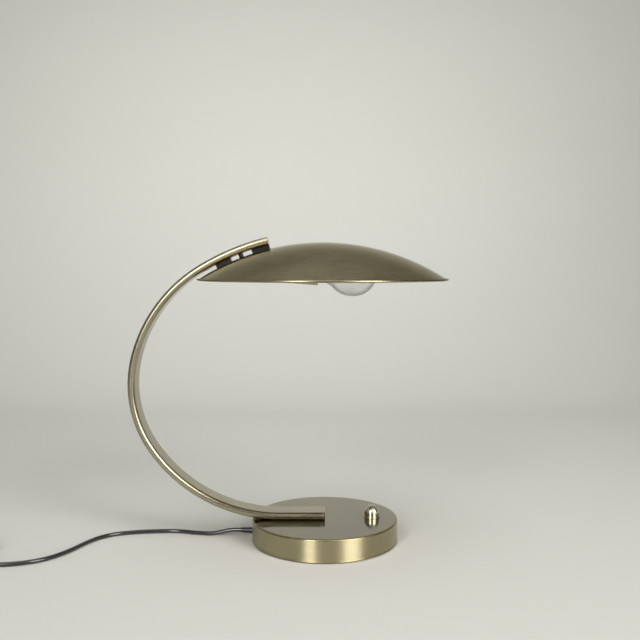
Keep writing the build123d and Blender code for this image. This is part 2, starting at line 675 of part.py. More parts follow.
def make_shade_dome():
    rim = math.degrees(math.acos(SHADE_RIM_RADIUS / SHADE_RADIUS))
    angles = (rim, (rim + APEX_ANGLE) / 2, APEX_ANGLE)
    over = ThreePointArc(*(polar(SHADE_RADIUS, angle) for angle in angles))
    under = ThreePointArc(*(polar(SHADE_INSIDE, angle) for angle in reversed(angles)))
    outline = Wire([over, Line(over @ 1, under @ 0), under, Line(under @ 1, over @ 0)])
    dome = revolve(Face(outline), Axis(SHADE_CENTRE, UP))
    bead = Torus(SHADE_RIM_RADIUS, RIM_BEAD_RADIUS)
    dome += Pos(SHADE_CENTRE + Vector(0, 0, RIM_HEIGHT)) * bead
    dome -= rod(spoke(SHADE_RADIUS, NIPPLE_ANGLE), NIPPLE_RADIUS + SEAT_GAP, -SHADE_WALL - OVERRUN, OVERRUN)
    screw_hole = SPACER_SCREW_RADIUS + SEAT_GAP
    return dome - rod(spoke(SHADE_RADIUS, SPACER_ANGLE), screw_hole, -SHADE_WALL - OVERRUN, OVERRUN)


# Frame of the lamp holder: its axis tilts a little down towards +X
LAMP_AXIS = Vector(1, 0, 0).rotate(Axis.Y, LAMP_TILT)
GLOBE_CENTRE = SHADE_CENTRE + Vector(GLOBE_OFFSET, 0, SHADE_RADIUS - GLOBE_DROP)
LAMP_PLANE = Plane(origin=GLOBE_CENTRE, x_dir=ACROSS, z_dir=LAMP_AXIS)
LAMP_SIDE = Plane(origin=GLOBE_CENTRE, x_dir=LAMP_AXIS, z_dir=(0.0, -1.0, 0.0))
LAMP_UP = LAMP_SIDE.y_dir
SKIRT_REAR = -HOLDER_FRONT - HOLDER_SKIRT_LENGTH
HOLDER_REAR = SKIRT_REAR - HOLDER_CAP_LENGTH
CERAMIC_FRONT = -HOLDER_FRONT - HOLDER_MOUTH_DEPTH
BULB_CAP_REAR = -BULB_CAP_FRONT - BULB_CAP_LENGTH


def lamp_turned(edges):
    """An outline of edges in (radius, 0, height) turned about the lamp's axis."""
    return LAMP_PLANE * revolve(Face(Wire(edges)), Axis.Z)


def make_holder_bracket():
    rear = HOLDER_REAR - BRACKET_THICKNESS / 2
    offset = GLOBE_CENTRE + LAMP_AXIS * rear - SHADE_CENTRE
    along = offset.dot(LAMP_UP)
    reach = math.sqrt(along**2 - offset.dot(offset) + SHADE_INSIDE**2) - along
    corner = offset + LAMP_UP * reach
    corner_angle = math.degrees(math.atan2(corner.Z, corner.X))
    strip = sector(BRACKET_INSIDE, SHADE_RADIUS, BRACKET_START_ANGLE, corner_angle, BRACKET_WIDTH)
    height = reach + BRACKET_BELOW_AXIS + OVERRUN
    flange = LAMP_SIDE * Pos(rear, height / 2 - BRACKET_BELOW_AXIS, 0) * Box(
        BRACKET_THICKNESS, height, BRACKET_WIDTH
    )
    bracket = (strip + flange) & shade_ball(SHADE_INSIDE - CURVED_GAP)
    bracket -= rod(spoke(SHADE_RADIUS, NIPPLE_ANGLE), NIPPLE_RADIUS + SEAT_GAP, -SHADE_GAP, OVERRUN)
    bracket -= rod(spoke(SHADE_RADIUS, SPACER_ANGLE), SPACER_SCREW_RADIUS + SEAT_GAP, -SHADE_GAP, OVERRUN)
    hole = rod(LAMP_PLANE, NIPPLE_RADIUS + SEAT_GAP, rear - OVERRUN, rear + OVERRUN)
    return bracket - hole


def make_holder_cap():
    middle = (HOLDER_NECK_RADIUS + HOLDER_RADIUS * 2) / 3
    middle_height = HOLDER_REAR + HOLDER_CAP_LENGTH / 4
    outer = ThreePointArc(
        (HOLDER_NECK_RADIUS, 0, HOLDER_REAR), (middle, 0, middle_height), (HOLDER_RADIUS, 0, SKIRT_REAR)
    )
    inner = ThreePointArc(
        (HOLDER_RADIUS - HOLDER_WALL, 0, SKIRT_REAR),
        (middle - HOLDER_WALL, 0, middle_height + HOLDER_WALL),
        (HOLDER_NECK_RADIUS - HOLDER_WALL / 2, 0, HOLDER_REAR + HOLDER_WALL),
    )
    bore = NIPPLE_RADIUS + THREAD_GAP
    edges = [
        Line((bore, 0, HOLDER_REAR), outer @ 0),
        outer,
        Line(outer @ 1, inner @ 0),
        inner,
        Line(inner @ 1, (bore, 0, HOLDER_REAR + HOLDER_WALL)),
        Line((bore, 0, HOLDER_REAR + HOLDER_WALL), (bore, 0, HOLDER_REAR)),
    ]
    return lamp_turned(edges)


def make_holder_skirt():
    inside = HOLDER_RADIUS - HOLDER_WALL
    edge = HOLDER_WALL / 2
    outline = [
        (HOLDER_MOUTH_RADIUS, -HOLDER_FRONT - HOLDER_WALL),
        (HOLDER_MOUTH_RADIUS, -HOLDER_FRONT),
        (HOLDER_RADIUS - edge, -HOLDER_FRONT),
        (HOLDER_RADIUS, -HOLDER_FRONT - edge),
        (HOLDER_RADIUS, SKIRT_REAR),
        (inside, SKIRT_REAR),
        (inside, -HOLDER_FRONT - HOLDER_WALL),
    ]
    return turned(outline, LAMP_PLANE)


def make_insulator():
    rear, front = CERAMIC_FRONT - CERAMIC_THICKNESS, -HOLDER_FRONT - HOLDER_WALL - SEAT_GAP
    ring_radius = HOLDER_RADIUS - HOLDER_WALL - SEAT_GAP
    outline = [
        (0, rear),
        (CERAMIC_RADIUS, rear),
        (CERAMIC_RADIUS, SKIRT_REAR),
        (ring_radius, SKIRT_REAR),
        (ring_radius, front),
        (HOLDER_MOUTH_RADIUS, front),
        (HOLDER_MOUTH_RADIUS, CERAMIC_FRONT),
        (0, CERAMIC_FRONT),
    ]
    cup = turned(outline, LAMP_PLANE)
    for side in (-1, 1):
        hole = LAMP_PLANE * Pos(side * LEAD_SPREAD, 0, 0)
        cup -= hole * Pos(0, 0, rear - OVERRUN) * Cylinder(
            BLOCK_HOLE_RADIUS,
            OVERRUN + CERAMIC_THICKNESS / 2,
            align=(Align.CENTER, Align.CENTER, Align.MIN),
        )
    return cup


def make_contact():
    low, high = CERAMIC_FRONT, BULB_CAP_REAR - BULB_BUTTON_HEIGHT - SEAT_GAP
    ramp = CONTACT_BEND
    outline = Polyline(
        (low, CONTACT_REACH),
        (low, ramp),
        (high - CONTACT_THICKNESS, 0),
        (high - CONTACT_THICKNESS, -ramp),
        (high, -ramp),
        (high, CONTACT_THICKNESS),
        (low + CONTACT_THICKNESS, ramp + CONTACT_THICKNESS),
        (low + CONTACT_THICKNESS, CONTACT_REACH),
        close=True,
    )
    return extrude(LAMP_SIDE * Face(outline.wire()), amount=CONTACT_WIDTH / 2, dir=ACROSS, both=True)


def make_holder_nipple():
    start = -HOLDER_NIPPLE_START
    return tube(LAMP_PLANE, NIPPLE_RADIUS, NIPPLE_BORE, start, start + HOLDER_NIPPLE_LENGTH)


def make_locknut():
    top = HOLDER_REAR - BRACKET_THICKNESS - SEAT_GAP
    return hexagon(LAMP_PLANE, HEX_ACROSS, NIPPLE_RADIUS + THREAD_GAP, top - HEX_THICKNESS, top)


def make_thread_sleeve():
    bore = BULB_CAP_RADIUS + RUN_GAP
    radius = bore + THREAD_SLEEVE_WALL
    return tube(LAMP_PLANE, radius, bore, CERAMIC_FRONT, CERAMIC_FRONT + THREAD_SLEEVE_LENGTH)


nodes["shade_dome"] = make_shade_dome()
nodes["holder_bracket"] = make_holder_bracket()
nodes["holder_nipple"] = make_holder_nipple()
nodes["holder_locknut"] = make_locknut()
nodes["holder_cap"] = make_holder_cap()
nodes["holder_skirt"] = make_holder_skirt()
nodes["holder_insulator"] = make_insulator()
nodes["holder_thread_sleeve"] = make_thread_sleeve()
nodes["holder_contact"] = make_contact()


# Bulb: clear glass on a standard screw cap, with its stem, support wires and filament
def bulb_body(inset, end):
    """The glass's outline set in by a wall, turned solid, down to a height behind the globe."""
    radius = BULB_RADIUS - inset
    shoulder = math.radians(math.degrees(math.asin((BULB_SHOULDER - BULB_BAND) / BULB_RADIUS)))
    shoulder_point = (radius * math.cos(shoulder), 0, -BULB_BAND - radius * math.sin(shoulder))
    cosine = math.cos(math.radians(45.0))
    front = ThreePointArc((0, 0, radius), (radius * cosine, 0, radius * cosine), (radius, 0, 0))
    band = Line(front @ 1, (radius, 0, -BULB_BAND))
    back = ThreePointArc(
        band @ 1,
        (radius * math.cos(shoulder / 2), 0, -BULB_BAND - radius * math.sin(shoulder / 2)),
        shoulder_point,
    )
    neck_end = (BULB_NECK_RADIUS - inset, 0, -BULB_CAP_FRONT)
    flare = ThreePointArc(back @ 1, (BULB_NECK_BEND_RADIUS - inset, 0, -BULB_NECK_BEND), neck_end)
    inner_neck = BULB_CAP_RADIUS - BULB_CAP_WALL - SEAT_GAP - inset
    edges = [
        front,
        band,
        back,
        flare,
        Line(neck_end, (inner_neck, 0, -BULB_CAP_FRONT)),
        Line((inner_neck, 0, -BULB_CAP_FRONT), (inner_neck, 0, end)),
        Line((inner_neck, 0, end), (0, 0, end)),
        Line((0, 0, end), (0, 0, radius)),
    ]
    return lamp_turned(edges)


GLASS_END = -BULB_CAP_FRONT - BULB_GLASS_DEPTH


def make_bulb_cap():
    inside = BULB_CAP_RADIUS - BULB_CAP_WALL
    taper = BULB_CAP_RADIUS - BULB_CAP_END_RADIUS
    outline = [
        (inside, -BULB_CAP_FRONT),
        (BULB_CAP_RADIUS, -BULB_CAP_FRONT),
        (BULB_CAP_RADIUS, BULB_CAP_REAR + taper),
        (BULB_CAP_END_RADIUS, BULB_CAP_REAR),
        (BULB_CAP_END_RADIUS - BULB_CAP_WALL, BULB_CAP_REAR),
        (inside, BULB_CAP_REAR + taper + BULB_CAP_WALL),
    ]
    return turned(outline, LAMP_PLANE)


def make_bulb_insulator():
    outer = BULB_CAP_END_RADIUS - BULB_CAP_WALL
    outline = [
        (BULB_BUTTON_RADIUS, BULB_CAP_REAR - BULB_BUTTON_HEIGHT / 2),
        (outer, BULB_CAP_REAR),
        (outer, BULB_CAP_REAR + BULB_CAP_WALL),
        (BULB_BUTTON_RADIUS, BULB_CAP_REAR + BULB_CAP_WALL),
    ]
    return turned(outline, LAMP_PLANE)


def make_bulb_contact():
    return rod(LAMP_PLANE, BULB_BUTTON_RADIUS, BULB_CAP_REAR - BULB_BUTTON_HEIGHT, BULB_CAP_REAR)


STEM_TOP = GLASS_END + STEM_LENGTH


def make_stem():
    flare = BULB_CAP_RADIUS - BULB_CAP_WALL - BULB_WALL - 2 * SEAT_GAP
    outline = [
        (0, GLASS_END),
        (flare, GLASS_END),
        (flare, GLASS_END + BULB_WALL),
        (STEM_RADIUS, GLASS_END + STEM_RADIUS * 2),
        (STEM_TIP_RADIUS, STEM_TOP),
        (0, STEM_TOP),
    ]
    return turned(outline, LAMP_PLANE)


def lamp_point(across, up, along):
    """A point in the holder's frame."""
    return GLOBE_CENTRE + Vector(0, across, 0) + LAMP_UP * up + LAMP_AXIS * along


def rounded(points, radius):
    """A bent wire's centre line with one bend radius."""
    return FilletPolyline(*points, radius=radius)


FILAMENT_HEIGHT = STEM_TOP + STEM_LENGTH / 2
FILAMENT_EDGE = FILAMENT_SPAN / 2


def make_support_wires():
    wires = []
    for side in (-1, 1):
        foot = lamp_point(side * STEM_TIP_RADIUS / 2, 0, STEM_TOP)
        bend = lamp_point(side * STEM_TIP_RADIUS / 2, 0, STEM_TOP + STEM_TIP_RADIUS * 2)
        tip = lamp_point(side * FILAMENT_EDGE, 0, FILAMENT_HEIGHT)
        wires.append(swept(rounded([foot, bend, tip], STEM_TIP_RADIUS), SUPPORT_WIRE_RADIUS))
    return group(wires)


def make_filament():
    step = FILAMENT_SPAN / FILAMENT_LEGS
    offset = SUPPORT_WIRE_RADIUS + FILAMENT_RADIUS + THREAD_GAP
    points = [lamp_point(-FILAMENT_EDGE, 0, FILAMENT_HEIGHT + offset)]
    for number in range(FILAMENT_LEGS):
        side = 1 if number % 2 else -1
        across = -FILAMENT_EDGE + step * (number + 0.5)
        points.append(lamp_point(across, side * FILAMENT_ZIGZAG / 2, FILAMENT_HEIGHT + offset))
    points.append(lamp_point(FILAMENT_EDGE, 0, FILAMENT_HEIGHT + offset))
    return swept(rounded(points, FILAMENT_RADIUS * 2), FILAMENT_RADIUS)


nodes["bulb_glass"] = bulb_body(0, GLASS_END) - bulb_body(BULB_WALL, GLASS_END - OVERRUN)
nodes["bulb_cap"] = make_bulb_cap()
nodes["bulb_cap_insulator"] = make_bulb_insulator()
nodes["bulb_contact"] = make_bulb_contact()
nodes["bulb_stem"] = make_stem()
nodes["bulb_support_wires"] = make_support_wires()
nodes["bulb_filament"] = make_filament()


# Push switch: collar and nut in the shell's top, body below, sprung knob on its plunger
SWITCH_PLANE = Plane(origin=(SWITCH_X, 0, 0))
COLLAR_BOTTOM = BASE_HEIGHT - COLLAR_DEPTH
SWITCH_BODY_TOP = COLLAR_BOTTOM + SWITCH_SOCKET_DEPTH
SWITCH_BODY_BOTTOM = SWITCH_BODY_TOP - SWITCH_BODY_HEIGHT
SPRING_FLOOR = COLLAR_BOTTOM - SPRING_CHAMBER_DEPTH
KNOB_BOTTOM = BASE_HEIGHT - KNOB_SKIRT
KNOB_TOP = BASE_HEIGHT + KNOB_HEIGHT
SPRING_CEILING = KNOB_BOTTOM + KNOB_POCKET_DEPTH
PLUNGER_TOP = SPRING_CEILING + PLUNGER_GRIP
PLUNGER_BOTTOM = PLUNGER_TOP - PLUNGER_LENGTH


def make_collar():
    flange_radius = COLLAR_BORE + COLLAR_FLANGE_WIDTH
    top = BASE_HEIGHT + COLLAR_FLANGE_HEIGHT
    flange = tube(SWITCH_PLANE, flange_radius, COLLAR_BORE, BASE_HEIGHT, top)
    edge = flange.edges().filter_by(GeomType.CIRCLE).group_by(Axis.Z)[-1].sort_by(SortBy.RADIUS)[-1]
    flange = fillet(edge, COLLAR_FLANGE_HEIGHT / 2)
    return flange + tube(SWITCH_PLANE, COLLAR_RADIUS, COLLAR_BORE, COLLAR_BOTTOM, BASE_HEIGHT)


def make_switch_nut():
    bore = COLLAR_RADIUS + THREAD_GAP
    floor = SHELL_CEILING - SWITCH_NUT_THICKNESS
    return hexagon(SWITCH_PLANE, SWITCH_NUT_ACROSS, bore, floor, SHELL_CEILING)


def make_switch_body():
    body = rod(SWITCH_PLANE, SWITCH_BODY_RADIUS, SWITCH_BODY_BOTTOM, SWITCH_BODY_TOP)
    body -= rod(SWITCH_PLANE, COLLAR_RADIUS + THREAD_GAP, COLLAR_BOTTOM, SWITCH_BODY_TOP + OVERRUN)
    body -= rod(SWITCH_PLANE, SPRING_RADIUS + SPRING_WIRE, SPRING_FLOOR, COLLAR_BOTTOM + OVERRUN)
    bore_floor = PLUNGER_BOTTOM - SWITCH_TRAVEL - SWITCH_SOCKET_DEPTH
    return body - rod(SWITCH_PLANE, PLUNGER_RADIUS + RUN_GAP, bore_floor, COLLAR_BOTTOM)


def make_switch_tabs():
    tabs = []
    for side in (-1, 1):
        tab = Pos(SWITCH_X - TAB_SETBACK, side * TAB_SPREAD / 2, SWITCH_BODY_BOTTOM) * Box(
            TAB_THICKNESS, TAB_WIDTH, TAB_LENGTH, align=(Align.CENTER, Align.CENTER, Align.MAX)
        )
        tabs.append(tab)
    return group(tabs)


def make_knob():
    shoulder = KNOB_TOP - KNOB_RADIUS
    upright = (Align.CENTER, Align.CENTER, Align.MIN)
    crown = SWITCH_PLANE * Pos(0, 0, shoulder) * Sphere(KNOB_RADIUS, arc_size1=0, align=upright)
    knob = rod(SWITCH_PLANE, KNOB_RADIUS, KNOB_BOTTOM, shoulder) + crown
    knob -= rod(SWITCH_PLANE, KNOB_POCKET_RADIUS, KNOB_BOTTOM - OVERRUN, SPRING_CEILING)
    return knob - rod(SWITCH_PLANE, PLUNGER_RADIUS + THREAD_GAP, KNOB_BOTTOM, PLUNGER_TOP)


# Wound wires and the coil: a smooth run through stations with set directions
def biarc(start, start_way, end, end_way):
    """Two tangent arcs between two points with given directions."""
    gap = end - start
    ways = start_way + end_way
    spread = 2 * (1 - start_way.dot(end_way))
    if spread < 1e-9:
        reach = gap.dot(gap) / (2 * gap.dot(ways))
    else:
        lean = gap.dot(ways)
        reach = (math.sqrt(lean**2 + spread * gap.dot(gap)) - lean) / spread
    first, second = start + start_way * reach, end - end_way * reach
    joint = (first + second) * 0.5
    middle_way = (second - first).normalized()
    return [Edge.make_tangent_arc(start, start_way, joint), Edge.make_tangent_arc(joint, middle_way, end)]


def wound(stations):
    """Edges through (point, direction) stations."""
    edges = []
    for (start, start_way), (end, end_way) in zip(stations, stations[1:]):
        edges += biarc(start, start_way, end, end_way)
    return edges


def make_spring():
    low, high = SPRING_FLOOR + SPRING_WIRE / 2, SPRING_CEILING - SPRING_WIRE / 2
    steps = SPRING_TURNS * 2
    rise = (high - low) / steps
    slope = rise / (SPRING_RADIUS * math.pi)
    stations = []
    for number in range(steps + 1):
        angle = number * math.pi
        point = Vector(
            SWITCH_X + SPRING_RADIUS * math.cos(angle), SPRING_RADIUS * math.sin(angle), low + rise * number
        )
        steep = 0 if number in (0, steps) else slope
        way = Vector(-math.sin(angle), math.cos(angle), steep).normalized()
        stations.append((point, way))
    return swept(Wire(wound(stations)), SPRING_WIRE / 2)


nodes["switch_collar"] = make_collar()
nodes["switch_nut"] = make_switch_nut()
nodes["switch_body"] = make_switch_body()
nodes["switch_tabs"] = make_switch_tabs()
nodes["switch_knob"] = make_knob()
nodes["switch_plunger"] = rod(SWITCH_PLANE, PLUNGER_RADIUS, PLUNGER_BOTTOM, PLUNGER_TOP)
nodes["switch_spring"] = make_spring()


# Terminal block and cord clamp, hung from the ballast by screws
BLOCK_BOTTOM = BALLAST_FLOOR - BLOCK_HEIGHT
BLOCK_SCREW_Y = BLOCK_Y + BLOCK_DEPTH * 3 / 4
BLOCK_HOLE_XS = [BLOCK_X + BLOCK_HOLE_PITCH * (number - 1.5) for number in range(4)]
CLAMP_ORIGIN = EXIT_DIRECTION * (BASE_RADIUS - CLAMP_SETBACK)
CLAMP_PLANE = Plane(origin=CLAMP_ORIGIN, x_dir=EXIT_DIRECTION, z_dir=UP)
CLAMP_HALF = CORD_RADIUS + CLAMP_WALL
CLAMP_SCREW_OUT = CLAMP_HALF + CLAMP_EAR / 2
SCREW_SPOTS = [Plane(origin=(BLOCK_X, BLOCK_SCREW_Y, 0))] + [
    Plane(origin=CLAMP_PLANE.from_local_coords(Vector(0, side * CLAMP_SCREW_OUT, 0))) for side in (-1, 1)
]


def make_terminal_block():
    block = Pos(BLOCK_X, BLOCK_Y, BLOCK_BOTTOM) * Box(
        BLOCK_LENGTH, BLOCK_DEPTH, BLOCK_HEIGHT, align=(Align.CENTER, Align.MIN, Align.MIN)
    )
    for x in BLOCK_HOLE_XS:
        mouth = Plane(origin=(x, BLOCK_Y, LEAD_HEIGHT), z_dir=ACROSS)
        block -= rod(mouth, BLOCK_HOLE_RADIUS, -OVERRUN, BLOCK_HOLE_DEPTH)
    spot = SCREW_SPOTS[0]
    block -= rod(spot, SMALL_SCREW_RADIUS + SEAT_GAP, 0, BASE_HEIGHT)
    return block - rod(spot, SMALL_SCREW_HEAD_RADIUS + SEAT_GAP, 0, BLOCK_BOTTOM + SMALL_SCREW_HEAD)


def make_small_screw(spot, seat):
    """A screw that points up, with its head's upper face at the seat."""
    head = rod(spot, SMALL_SCREW_HEAD_RADIUS, seat - SMALL_SCREW_HEAD, seat)
    return head + rod(spot, SMALL_SCREW_RADIUS, seat, BALLAST_FLOOR + SMALL_SCREW_BITE)


def make_cord_clamp():
    ears = Pos(0, 0, BALLAST_FLOOR) * Box(
        CLAMP_WIDTH, 2 * (CLAMP_HALF + CLAMP_EAR), CLAMP_WALL, align=(Align.CENTER, Align.CENTER, Align.MAX)
    )
    height = BALLAST_FLOOR - CORD_EXIT_HEIGHT + CLAMP_HALF
    saddle = Pos(0, 0, BALLAST_FLOOR) * Box(
        CLAMP_WIDTH, 2 * CLAMP_HALF, height, align=(Align.CENTER, Align.CENTER, Align.MAX)
    )
    clamp = CLAMP_PLANE * (ears + saddle)
    clamp -= rod(EXIT_PLANE, CORD_RADIUS + THREAD_GAP, -BASE_RADIUS / 2, 0)
    for spot in SCREW_SPOTS[1:]:
        clamp -= rod(spot, SMALL_SCREW_RADIUS + SEAT_GAP, 0, BASE_HEIGHT)
    return clamp


nodes["terminal_block"] = make_terminal_block()
nodes["terminal_block_screw"] = make_small_screw(SCREW_SPOTS[0], BLOCK_BOTTOM + SMALL_SCREW_HEAD)
nodes["cord_clamp"] = make_cord_clamp()
nodes["cord_clamp_screws"] = group(
    [make_small_screw(spot, BALLAST_FLOOR - CLAMP_WALL) for spot in SCREW_SPOTS[1:]]
)
tapped_top = BALLAST_FLOOR + SMALL_SCREW_BITE + SEAT_GAP
for small_spot in SCREW_SPOTS:
    nodes["ballast_weight"] -= rod(small_spot, SMALL_SCREW_RADIUS + THREAD_GAP, 0, tapped_top)


# Insulated leads: from the cord to the block and the switch, and on through the arm to the holder
LEAD_DEPTH = BLOCK_Y + BLOCK_HOLE_DEPTH - SEAT_GAP
SWITCH_TAB_FACE = SWITCH_X - TAB_SETBACK - TAB_THICKNESS / 2
CORD_INNER_END = EXIT_DIRECTION * (BASE_RADIUS - CORD_END_SETBACK) + Vector(0, 0, CORD_EXIT_HEIGHT)
SIDEWAYS = EXIT_DIRECTION.rotate(Axis.Z, 90.0)


def base_lead(points):
    path, _ = eased([(x, y, LEAD_HEIGHT) for x, y in points])
    return swept(path, LEAD_RADIUS)


def make_base_leads():
    upper = CORD_INNER_END - SIDEWAYS * LEAD_SPREAD
    lower = CORD_INNER_END + SIDEWAYS * LEAD_SPREAD
    straight = EXIT_DIRECTION * LEAD_STRAIGHT
    neutral = [
        (upper.X, upper.Y),
        (upper.X - straight.X, upper.Y - straight.Y),
        (BLOCK_HOLE_XS[0], NEUTRAL_LEAD_Y),
        (BLOCK_HOLE_XS[0], LEAD_DEPTH),
    ]
    live = [
        (lower.X, lower.Y),
        (lower.X - straight.X, lower.Y - straight.Y),
        *LIVE_LEAD_ROUTE,
        (SWITCH_TAB_FACE, -TAB_SPREAD / 2),
    ]
    switched = [
        (SWITCH_TAB_FACE, TAB_SPREAD / 2),
        (BLOCK_HOLE_XS[3], TAB_SPREAD / 2),
        (BLOCK_HOLE_XS[3], LEAD_DEPTH),
    ]
    return group([base_lead(neutral), base_lead(live), base_lead(switched)])


def make_arm_leads():
    leads = []
    for hole_x, across in ((BLOCK_HOLE_XS[1], LEAD_SPREAD), (BLOCK_HOLE_XS[2], -LEAD_SPREAD)):
        level = ARM_MIDDLE - ARM_LEAD_OFFSET
        top = (CABLE_HOLE_X, across, level - LEAD_BEND)
        corners = [
            (hole_x, LEAD_DEPTH, LEAD_HEIGHT),
            (hole_x, across, LEAD_HEIGHT),
            (CABLE_HOLE_X, across, LEAD_HEIGHT),
            top,
        ]
        rising, _ = eased(corners)
        turn_end = (CABLE_HOLE_X - LEAD_BEND, across, level)
        bend = Edge.make_tangent_arc(Vector(*top), Vector(*UP), Vector(*turn_end))
        along = arm_path(ARM_LEAD_OFFSET, across, ARM_LEAD_END_ANGLE, CABLE_HOLE_X - LEAD_BEND)
        leads.append(swept(Wire(rising.edges() + [bend] + along.edges()), LEAD_RADIUS))
    return group(leads)


def make_shade_leads():
    leads = []
    for side in (-1, 1):
        across = side * LEAD_SPREAD
        points = [
            polar(SLIDE_NUT_TOP - SHADE_LEAD_INSET, NIPPLE_ANGLE, across),
            polar(BRACKET_INSIDE - SHADE_LEAD_DROP, NIPPLE_ANGLE, across),
            lamp_point(across, 0, HOLDER_REAR - SHADE_LEAD_APPROACH),
            lamp_point(across, 0, CERAMIC_FRONT - CERAMIC_THICKNESS / 2 - SEAT_GAP),
        ]
        path, _ = eased([tuple(point) for point in points])
        leads.append(swept(path, LEAD_RADIUS))
    return group(leads)


nodes["base_leads"] = make_base_leads()
nodes["arm_leads"] = make_arm_leads()
nodes["shade_leads"] = make_shade_leads()


# Mains cord: strain relief, free stretch on the table, coil and plug
def exit_point(distance):
    """A point on the exit's axis, a distance outside the base's wall."""
    return EXIT_DIRECTION * (BASE_RADIUS + distance) + Vector(0, 0, CORD_EXIT_HEIGHT)


def make_relief():
    bore = CORD_RADIUS + THREAD_GAP
    inner = -SHELL_WALL - CURVED_GAP
    outline = [
        (bore, inner - RELIEF_FLANGE),
        (RELIEF_FLANGE_RADIUS, inner - RELIEF_FLANGE),
        (RELIEF_FLANGE_RADIUS, inner),
        (RELIEF_NECK_RADIUS - THREAD_GAP, inner),
        (RELIEF_NECK_RADIUS - THREAD_GAP, THREAD_GAP),
        (RELIEF_COLLAR_RADIUS, THREAD_GAP),
        (RELIEF_COLLAR_RADIUS, SHELL_WALL),
        (RELIEF_TIP_RADIUS, RELIEF_LENGTH),
        (bore, RELIEF_LENGTH),
    ]
    return turned(outline, EXIT_PLANE)


COIL_CENTRE = Vector(COIL_CENTRE_X, COIL_CENTRE_Y, CORD_RADIUS)
COIL_START = COIL_CENTRE + Vector(0, -COIL_OUTER_RADIUS, 0)
CORD_END = COIL_START + Vector(CORD_DIAMETER, 0, 0)


def make_cord():
    corners = [exit_point(RELIEF_LENGTH), exit_point(RELIEF_LENGTH + CORD_FIRST_RUN)]
    corners += [Vector(*point) for point in CORD_ROUTE] + [CORD_END]
    path, radii = eased([tuple(point) for point in corners])
    print("cord route:", [tuple(round(value, 2) for value in tuple(point)) for point in corners])
    print("cord radii:", [round(radius, 1) for radius in radii])
    print("cord runs:", [round((after - here).length, 1) for here, after in zip(corners, corners[1:])])
    inner = Line(CORD_INNER_END, corners[0])
    wire = Wire([inner.edge()] + path.edges())
    cord = swept(wire, CORD_RADIUS)
    section = math.pi * CORD_RADIUS**2
    print("cord length:", round(wire.length, 1), "volume over section x length:",
          round(cord.volume / (section * wire.length), 4))
    return cord, wire.length


def coil_station(turn):
    """A point of the coil and its direction, a number of turns from its start."""
    middle = COIL_TURNS / 2
    left = min(turn, COIL_TURNS - turn)
    radius = COIL_OUTER_RADIUS - COIL_PITCH * left
    angle = math.radians(-90.0 - 360.0 * turn)
    climb = min(max((turn - middle) * 2 + 0.5, 0.0), 1.0)
    height = COIL_PITCH * climb
    point = COIL_CENTRE + Vector(radius * math.cos(angle), radius * math.sin(angle), height)
    closing = 0 if turn in (0, middle, COIL_TURNS) else (-1 if turn < middle else 1)
    outwards = closing * COIL_PITCH / (2 * math.pi * radius)
    upwards = COIL_PITCH / (math.pi * radius) if turn == middle else 0
    way = Vector(
        math.sin(angle) + outwards * math.cos(angle), -math.cos(angle) + outwards * math.sin(angle), upwards
    )
    return point, way.normalized()


def make_coil():
    middle = COIL_TURNS / 2
    quarters = int(middle * 4)
    turns = [0] + [middle + number / 4 for number in range(-quarters, quarters + 1)] + [COIL_TURNS]
    stations = [coil_station(turn) for turn in turns]
    last, last_way = stations[-1]
    tail = Vector(last.X, last.Y + COIL_TAIL, PLUG_THICKNESS / 2)
    end = tail + Vector(0, CORD_DIAMETER, 0)
    edges = [Edge.make_line(CORD_END, COIL_START)] + wound(stations)
    edges += biarc(last, last_way, tail, Vector(*ACROSS)) + [Edge.make_line(tail, end)]
    wire = Wire(edges)
    coil = swept(wire, CORD_RADIUS)
    section = math.pi * CORD_RADIUS**2
    print("coil length:", round(wire.length, 1), "volume over section x length:",
          round(coil.volume / (section * wire.length), 4))
    samples = [wire @ (number / 900) for number in range(901)]
    apart = int(COIL_OUTER_RADIUS * math.pi / 2 / (wire.length / 900))
    gap = min(
        (samples[first] - samples[second]).length
        for first in range(len(samples))
        for second in range(first + apart, len(samples))
    )
    print("least gap between turns:", round(gap - CORD_DIAMETER, 2))
    return coil, end, wire.length


def plug_section(distance, width, thickness, corner):
    plane = Plane(origin=PLUG_START + Vector(0, distance, 0), x_dir=(1.0, 0.0, 0.0), z_dir=ACROSS)
    return plane * RectangleRounded(width, thickness, corner)


PLUG_TAPER_START = PLUG_SLEEVE_LENGTH
PLUG_FRONT_START = PLUG_TAPER_START + PLUG_TAPER_LENGTH
PLUG_FRONT = PLUG_FRONT_START + PLUG_FRONT_LENGTH

nodes["strain_relief"] = make_relief()
nodes["power_cord"], cord_length = make_cord()
nodes["cord_coil"], PLUG_START, coil_length = make_coil()
PIN_SPOTS = [
    Plane(origin=PLUG_START + Vector(side * PIN_SPACING / 2, PLUG_FRONT, 0), z_dir=ACROSS)
    for side in (-1, 1)
]


def make_plug():
    plane = Plane(origin=PLUG_START, z_dir=ACROSS)
    sleeve = plane * Cone(
        CORD_RADIUS + THREAD_GAP * 10,
        PLUG_REAR_THICKNESS / 2,
        PLUG_SLEEVE_LENGTH,
        align=(Align.CENTER, Align.CENTER, Align.MIN),
    )
    rear = plug_section(PLUG_TAPER_START, PLUG_REAR_WIDTH, PLUG_REAR_THICKNESS, PLUG_CORNER_RADIUS)
    wide = plug_section(PLUG_FRONT_START, PLUG_WIDTH, PLUG_THICKNESS, PLUG_CORNER_RADIUS)
    taper = loft([rear.face(), wide.face()], ruled=True)
    front = extrude(wide.face(), amount=PLUG_FRONT_LENGTH, dir=ACROSS)
    body = sleeve + taper + front
    for spot in PIN_SPOTS:
        body -= rod(spot, PIN_ROOT_RADIUS + THREAD_GAP, -PLUG_FRONT_LENGTH / 2, OVERRUN)
    return body


